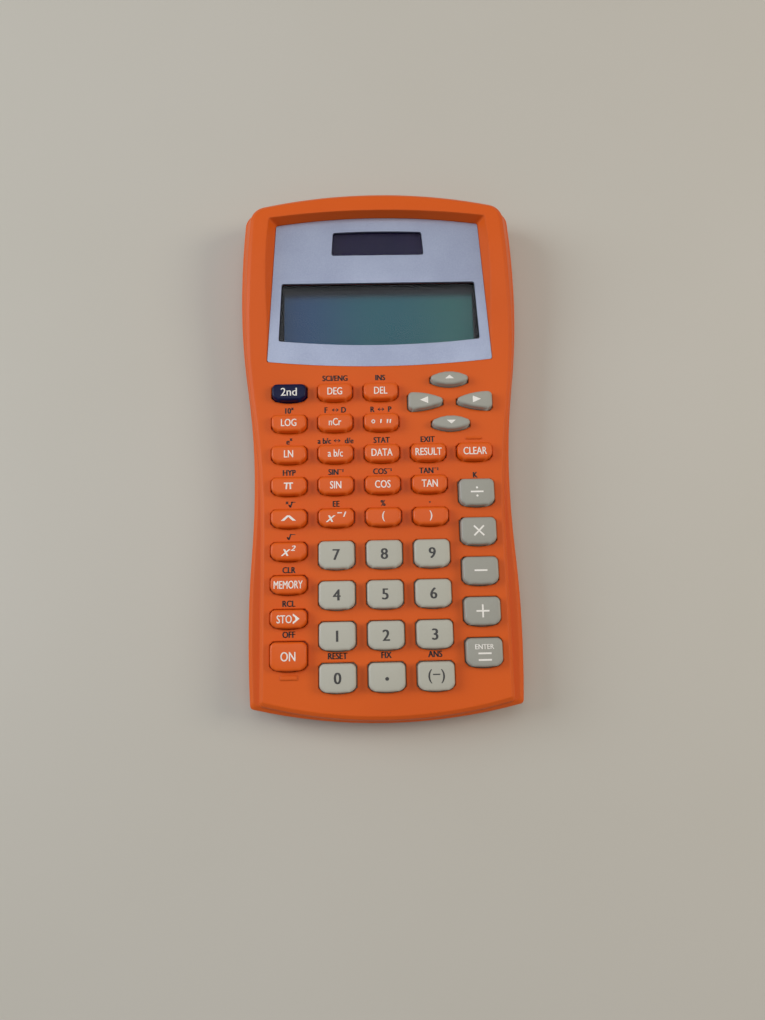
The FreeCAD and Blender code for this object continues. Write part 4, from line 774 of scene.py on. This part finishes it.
white_ink = ink("white_ink", colour(238, 232, 222), colour(228, 220, 208))
charcoal_ink = ink("charcoal_ink", colour(62, 60, 58), colour(54, 52, 50))
WORD, DIGIT, SIGN = 2.1, 2.95, 5.4
KEY_WORDS = {
    "key_second": [("2nd", 0, 0, 2.3, 0.95)],
    "key_degrees_minutes": [("° ′ ″", 0, -0.1, 3.0, 0.85)],
    "key_pi": [("π", 0, 0, 2.1, 1.1)],
    "key_memory_list": [("MEMORY", 0, 0, WORD, 0.63)],
    "key_power": [("^", 0, 0, 2.6, 2.6)],
    "key_reciprocal": [("x⁻¹", 0, 0.1, 2.8, 1.0)],
    "key_open_bracket": [("(", 0, 0, 2.1, 0.9)],
    "key_close_bracket": [(")", 0, 0, 2.1, 0.9)],
    "key_square": [("x²", 0, 0.1, 2.8, 1.0)],
    "key_on": [("ON", 0, 0, 2.4, 0.75)],
    "key_divide": [("÷", 0, 0, SIGN, 1.0)],
    "key_multiply": [("×", 0, 0, SIGN, 1.0)],
    "key_subtract": [("−", 0, 0, SIGN, 1.0)],
    "key_add": [("+", 0, 0, SIGN, 1.0)],
    "key_enter": [("ENTER", 0, 1.5, 1.3, 0.9), ("=", 0, -1.1, SIGN, 1.0)],
    "key_decimal": [(".", 0, -0.4, 5.6, 1.0)],
    "key_negate": [("(−)", 0, 0, 2.7, 1.0)],
    "key_up": [("▲", 0, 0.2, 0.97, 1.95)],
    "key_down": [("▼", 0, 0, 0.97, 1.95)],
    "key_left": [("◄", -0.5, 0, 1.5, 1.35)],
    "key_right": [("►", 0.5, 0, 1.5, 1.35)],
    **{f"key_{name}": [(words, 0, 0, WORD, 0.73)] for name, words in {
        "angle_mode": "DEG", "delete": "DEL", "log": "LOG", "probability": "nCr", "ln": "LN",
        "fraction": "a b/c", "data": "DATA", "stat_results": "RESULT", "clear": "CLEAR", "sin": "SIN",
        "cos": "COS", "tan": "TAN", "store": "STO►"}.items()},
    **{f"key_{digit}": [(str(digit), 0, 0, DIGIT, 0.95)] for digit in range(10)},
}
LETTER_BOLDNESS = 0.07 * MM
BOLDNESS = {DIGIT: 0.24 * MM, SIGN: -0.1 * MM}
for name, words in KEY_WORDS.items():
    middle, half_width, half_length, top = key_sizes[name]
    marks = [(text, middle[0] + x * MM, middle[1] + y * MM, height * MM, squeeze,
              BOLDNESS.get(height, LETTER_BOLDNESS)) for text, x, y, height, squeeze in words]
    printed(name + "_legend", marks,
            lambda x, y: top - crown_drop(x - middle[0], y - middle[1], half_width, half_length),
            charcoal_ink if slot_of[name] == "number_keys" else white_ink, name)


# Second functions: small condensed legends, screen-printed in black on the face. Each stands above the key
# that gives it after the navy key.

FACE = key_sizes["key_5"][3] - KEY_PROUD
SMALL, SMALL_SQUEEZE, SMALL_BOLDNESS = 1.65, 0.82, 0.2
ABOVE_FUNCTION, ABOVE_NUMBER = 4.2, 5.8
ABOVE_OWN = {"key_divide": 5.3, "key_angle_mode": 4.65, "key_delete": 4.65, "key_on": 5.8}
ARROW, ARROW_SHIFT = 1.2, {"key_fraction": 0.45}
BAR_RIGHT, BAR_UP = 1.1, 0.68
GAP = " " * 7
FACE_WORDS = {
    "key_angle_mode": "SCI/ENG",
    "key_delete": "INS",
    "key_log": "10ˣ",
    "key_probability": f"F{GAP}D",
    "key_degrees_minutes": f"R{GAP}P",
    "key_ln": "eˣ",
    "key_fraction": f"a b/c{GAP}d/e",
    "key_data": "STAT",
    "key_stat_results": "EXIT",
    "key_pi": "HYP",
    "key_sin": "SIN⁻¹",
    "key_cos": "COS⁻¹",
    "key_tan": "TAN⁻¹",
    "key_divide": "K",
    "key_power": "ˣ√",
    "key_reciprocal": "EE",
    "key_open_bracket": "%",
    "key_close_bracket": ",",
    "key_square": "√",
    "key_memory_list": "CLR",
    "key_store": "RCL",
    "key_on": "OFF",
    "key_0": "RESET",
    "key_decimal": "FIX",
    "key_negate": "ANS",
}
face_ink = ink("face_ink", colour(20, 10, 8), colour(26, 14, 10))
marks = []
for name, words in FACE_WORDS.items():
    middle = key_sizes[name][0] / MM
    usual = ABOVE_NUMBER if slot_of[name] == "number_keys" else ABOVE_FUNCTION
    x, y = middle[0], middle[1] + ABOVE_OWN.get(name, usual)
    signs = [(words, x, y, SMALL, SMALL_SQUEEZE, SMALL_BOLDNESS)]
    if GAP in words:
        signs.append(("↔", x + ARROW_SHIFT.get(name, 0), y, ARROW, 1.1, 0))
    if "√" in words:
        signs.append(("−", x + BAR_RIGHT, y + BAR_UP, SMALL, 1.1, 0))
    marks += [(text, x * MM, y * MM, height * MM, squeeze, boldness * MM)
              for text, x, y, height, squeeze, boldness in signs]
printed("face_legends", marks, lambda x, y: FACE + 0 * x, face_ink, "casing")


# Table: a pale matt board with a slight mottle, flat under the feet and well beyond the view on every
# side.

def table_mottle():
    """A pale board: two near tones in slow clouds."""
    tree, given, out = finish_group(
        "table_mottle", {"Tone": (0.5, 0.5, 0.5, 1), "Other Tone": (0.4, 0.4, 0.4, 1)},
        ["Base Color", "Roughness"])
    place = add(tree, "TexCoord").outputs["Object"]
    cloud = add(tree, "TexNoise", {"Vector": place, "Scale": 6.0, "Detail": 4.0})
    tone = add(tree, "Mix", {0: cloud.outputs[0], 6: given["Tone"], 7: given["Other Tone"]}, data_type="RGBA")
    gloss = add(tree, "MapRange", {"Value": cloud.outputs[0], "To Min": 0.55, "To Max": 0.7})
    tree.links.new(tone.outputs[2], out["Base Color"])
    tree.links.new(gloss.outputs[0], out["Roughness"])
    return tree


TABLE_REACH = 3.0
TABLE_COLUMNS = 9
edge = np.linspace(-TABLE_REACH, TABLE_REACH, TABLE_COLUMNS)
across, along = np.meshgrid(edge, edge)
table_points = np.stack([across, along, np.zeros_like(across)], axis=-1).reshape(-1, 3)
here = np.arange(TABLE_COLUMNS**2).reshape(TABLE_COLUMNS, TABLE_COLUMNS)
table_quads = np.stack([here[:-1, :-1], here[:-1, 1:], here[1:, 1:], here[1:, :-1]], axis=-1).reshape(-1, 4)
table_mesh = bpy.data.meshes.new("table")
table_mesh.from_pydata(table_points.tolist(), [], table_quads.tolist())
table_mesh.materials.append(finish("table_board", table_mottle(), {
    "Tone": colour(193, 187, 176), "Other Tone": colour(184, 178, 164)}))
table = bpy.data.objects.new("table", table_mesh)
bpy.context.scene.collection.objects.link(table)


# Light: an even pale room, a wide cool window on the left, a warmer lamp panel on the right and a soft
# ceiling panel. All are level enough that a written colour comes out about as written.

world = bpy.data.worlds.new("room")
bpy.context.scene.world = world
world.use_nodes = True
world.node_tree.nodes["Background"].inputs["Color"].default_value = (0.33, 0.335, 0.35, 1)
for name, place, size, tint, power in (
        ("window", (-0.85, 0.2, 0.5), 0.6, (0.84, 0.92, 1.0), 5.8),
        ("lamp", (0.8, 0.1, 0.55), 0.4, (1.0, 0.9, 0.76), 3.2),
        ("ceiling", (0.0, 0.25, 1.0), 0.8, (0.97, 0.98, 1.0), 2.0)):
    light = bpy.data.lights.new(name, "AREA")
    light.shape, light.size, light.color, light.energy = "DISK", size, tint, power
    lamp = bpy.data.objects.new(name, light)
    lamp.location = place
    lamp.rotation_euler = (-lamp.location).to_track_quat("-Z", "Y").to_euler()
    bpy.context.scene.collection.objects.link(lamp)


# Camera: held by hand above the near end and tipped slightly, close enough for a strong perspective. Its
# turns are about X, Y and Z in degrees.

CAMERA_PLACE = (-3.787, -63.553, 219.195)
CAMERA_TURNS = (11.78651, -0.72696, -1.25429)
FOCAL_LENGTH, SENSOR_WIDTH = 27.035, 36.0
lens = bpy.data.cameras.new("camera")
lens.lens, lens.sensor_width, lens.clip_start = FOCAL_LENGTH, SENSOR_WIDTH, 0.01
camera = bpy.data.objects.new("camera", lens)
camera.location = tuple(distance * MM for distance in CAMERA_PLACE)
camera.rotation_euler = tuple(math.radians(turn) for turn in CAMERA_TURNS)
bpy.context.scene.collection.objects.link(camera)
bpy.context.scene.camera = camera
bpy.context.scene.view_settings.view_transform = "Standard"
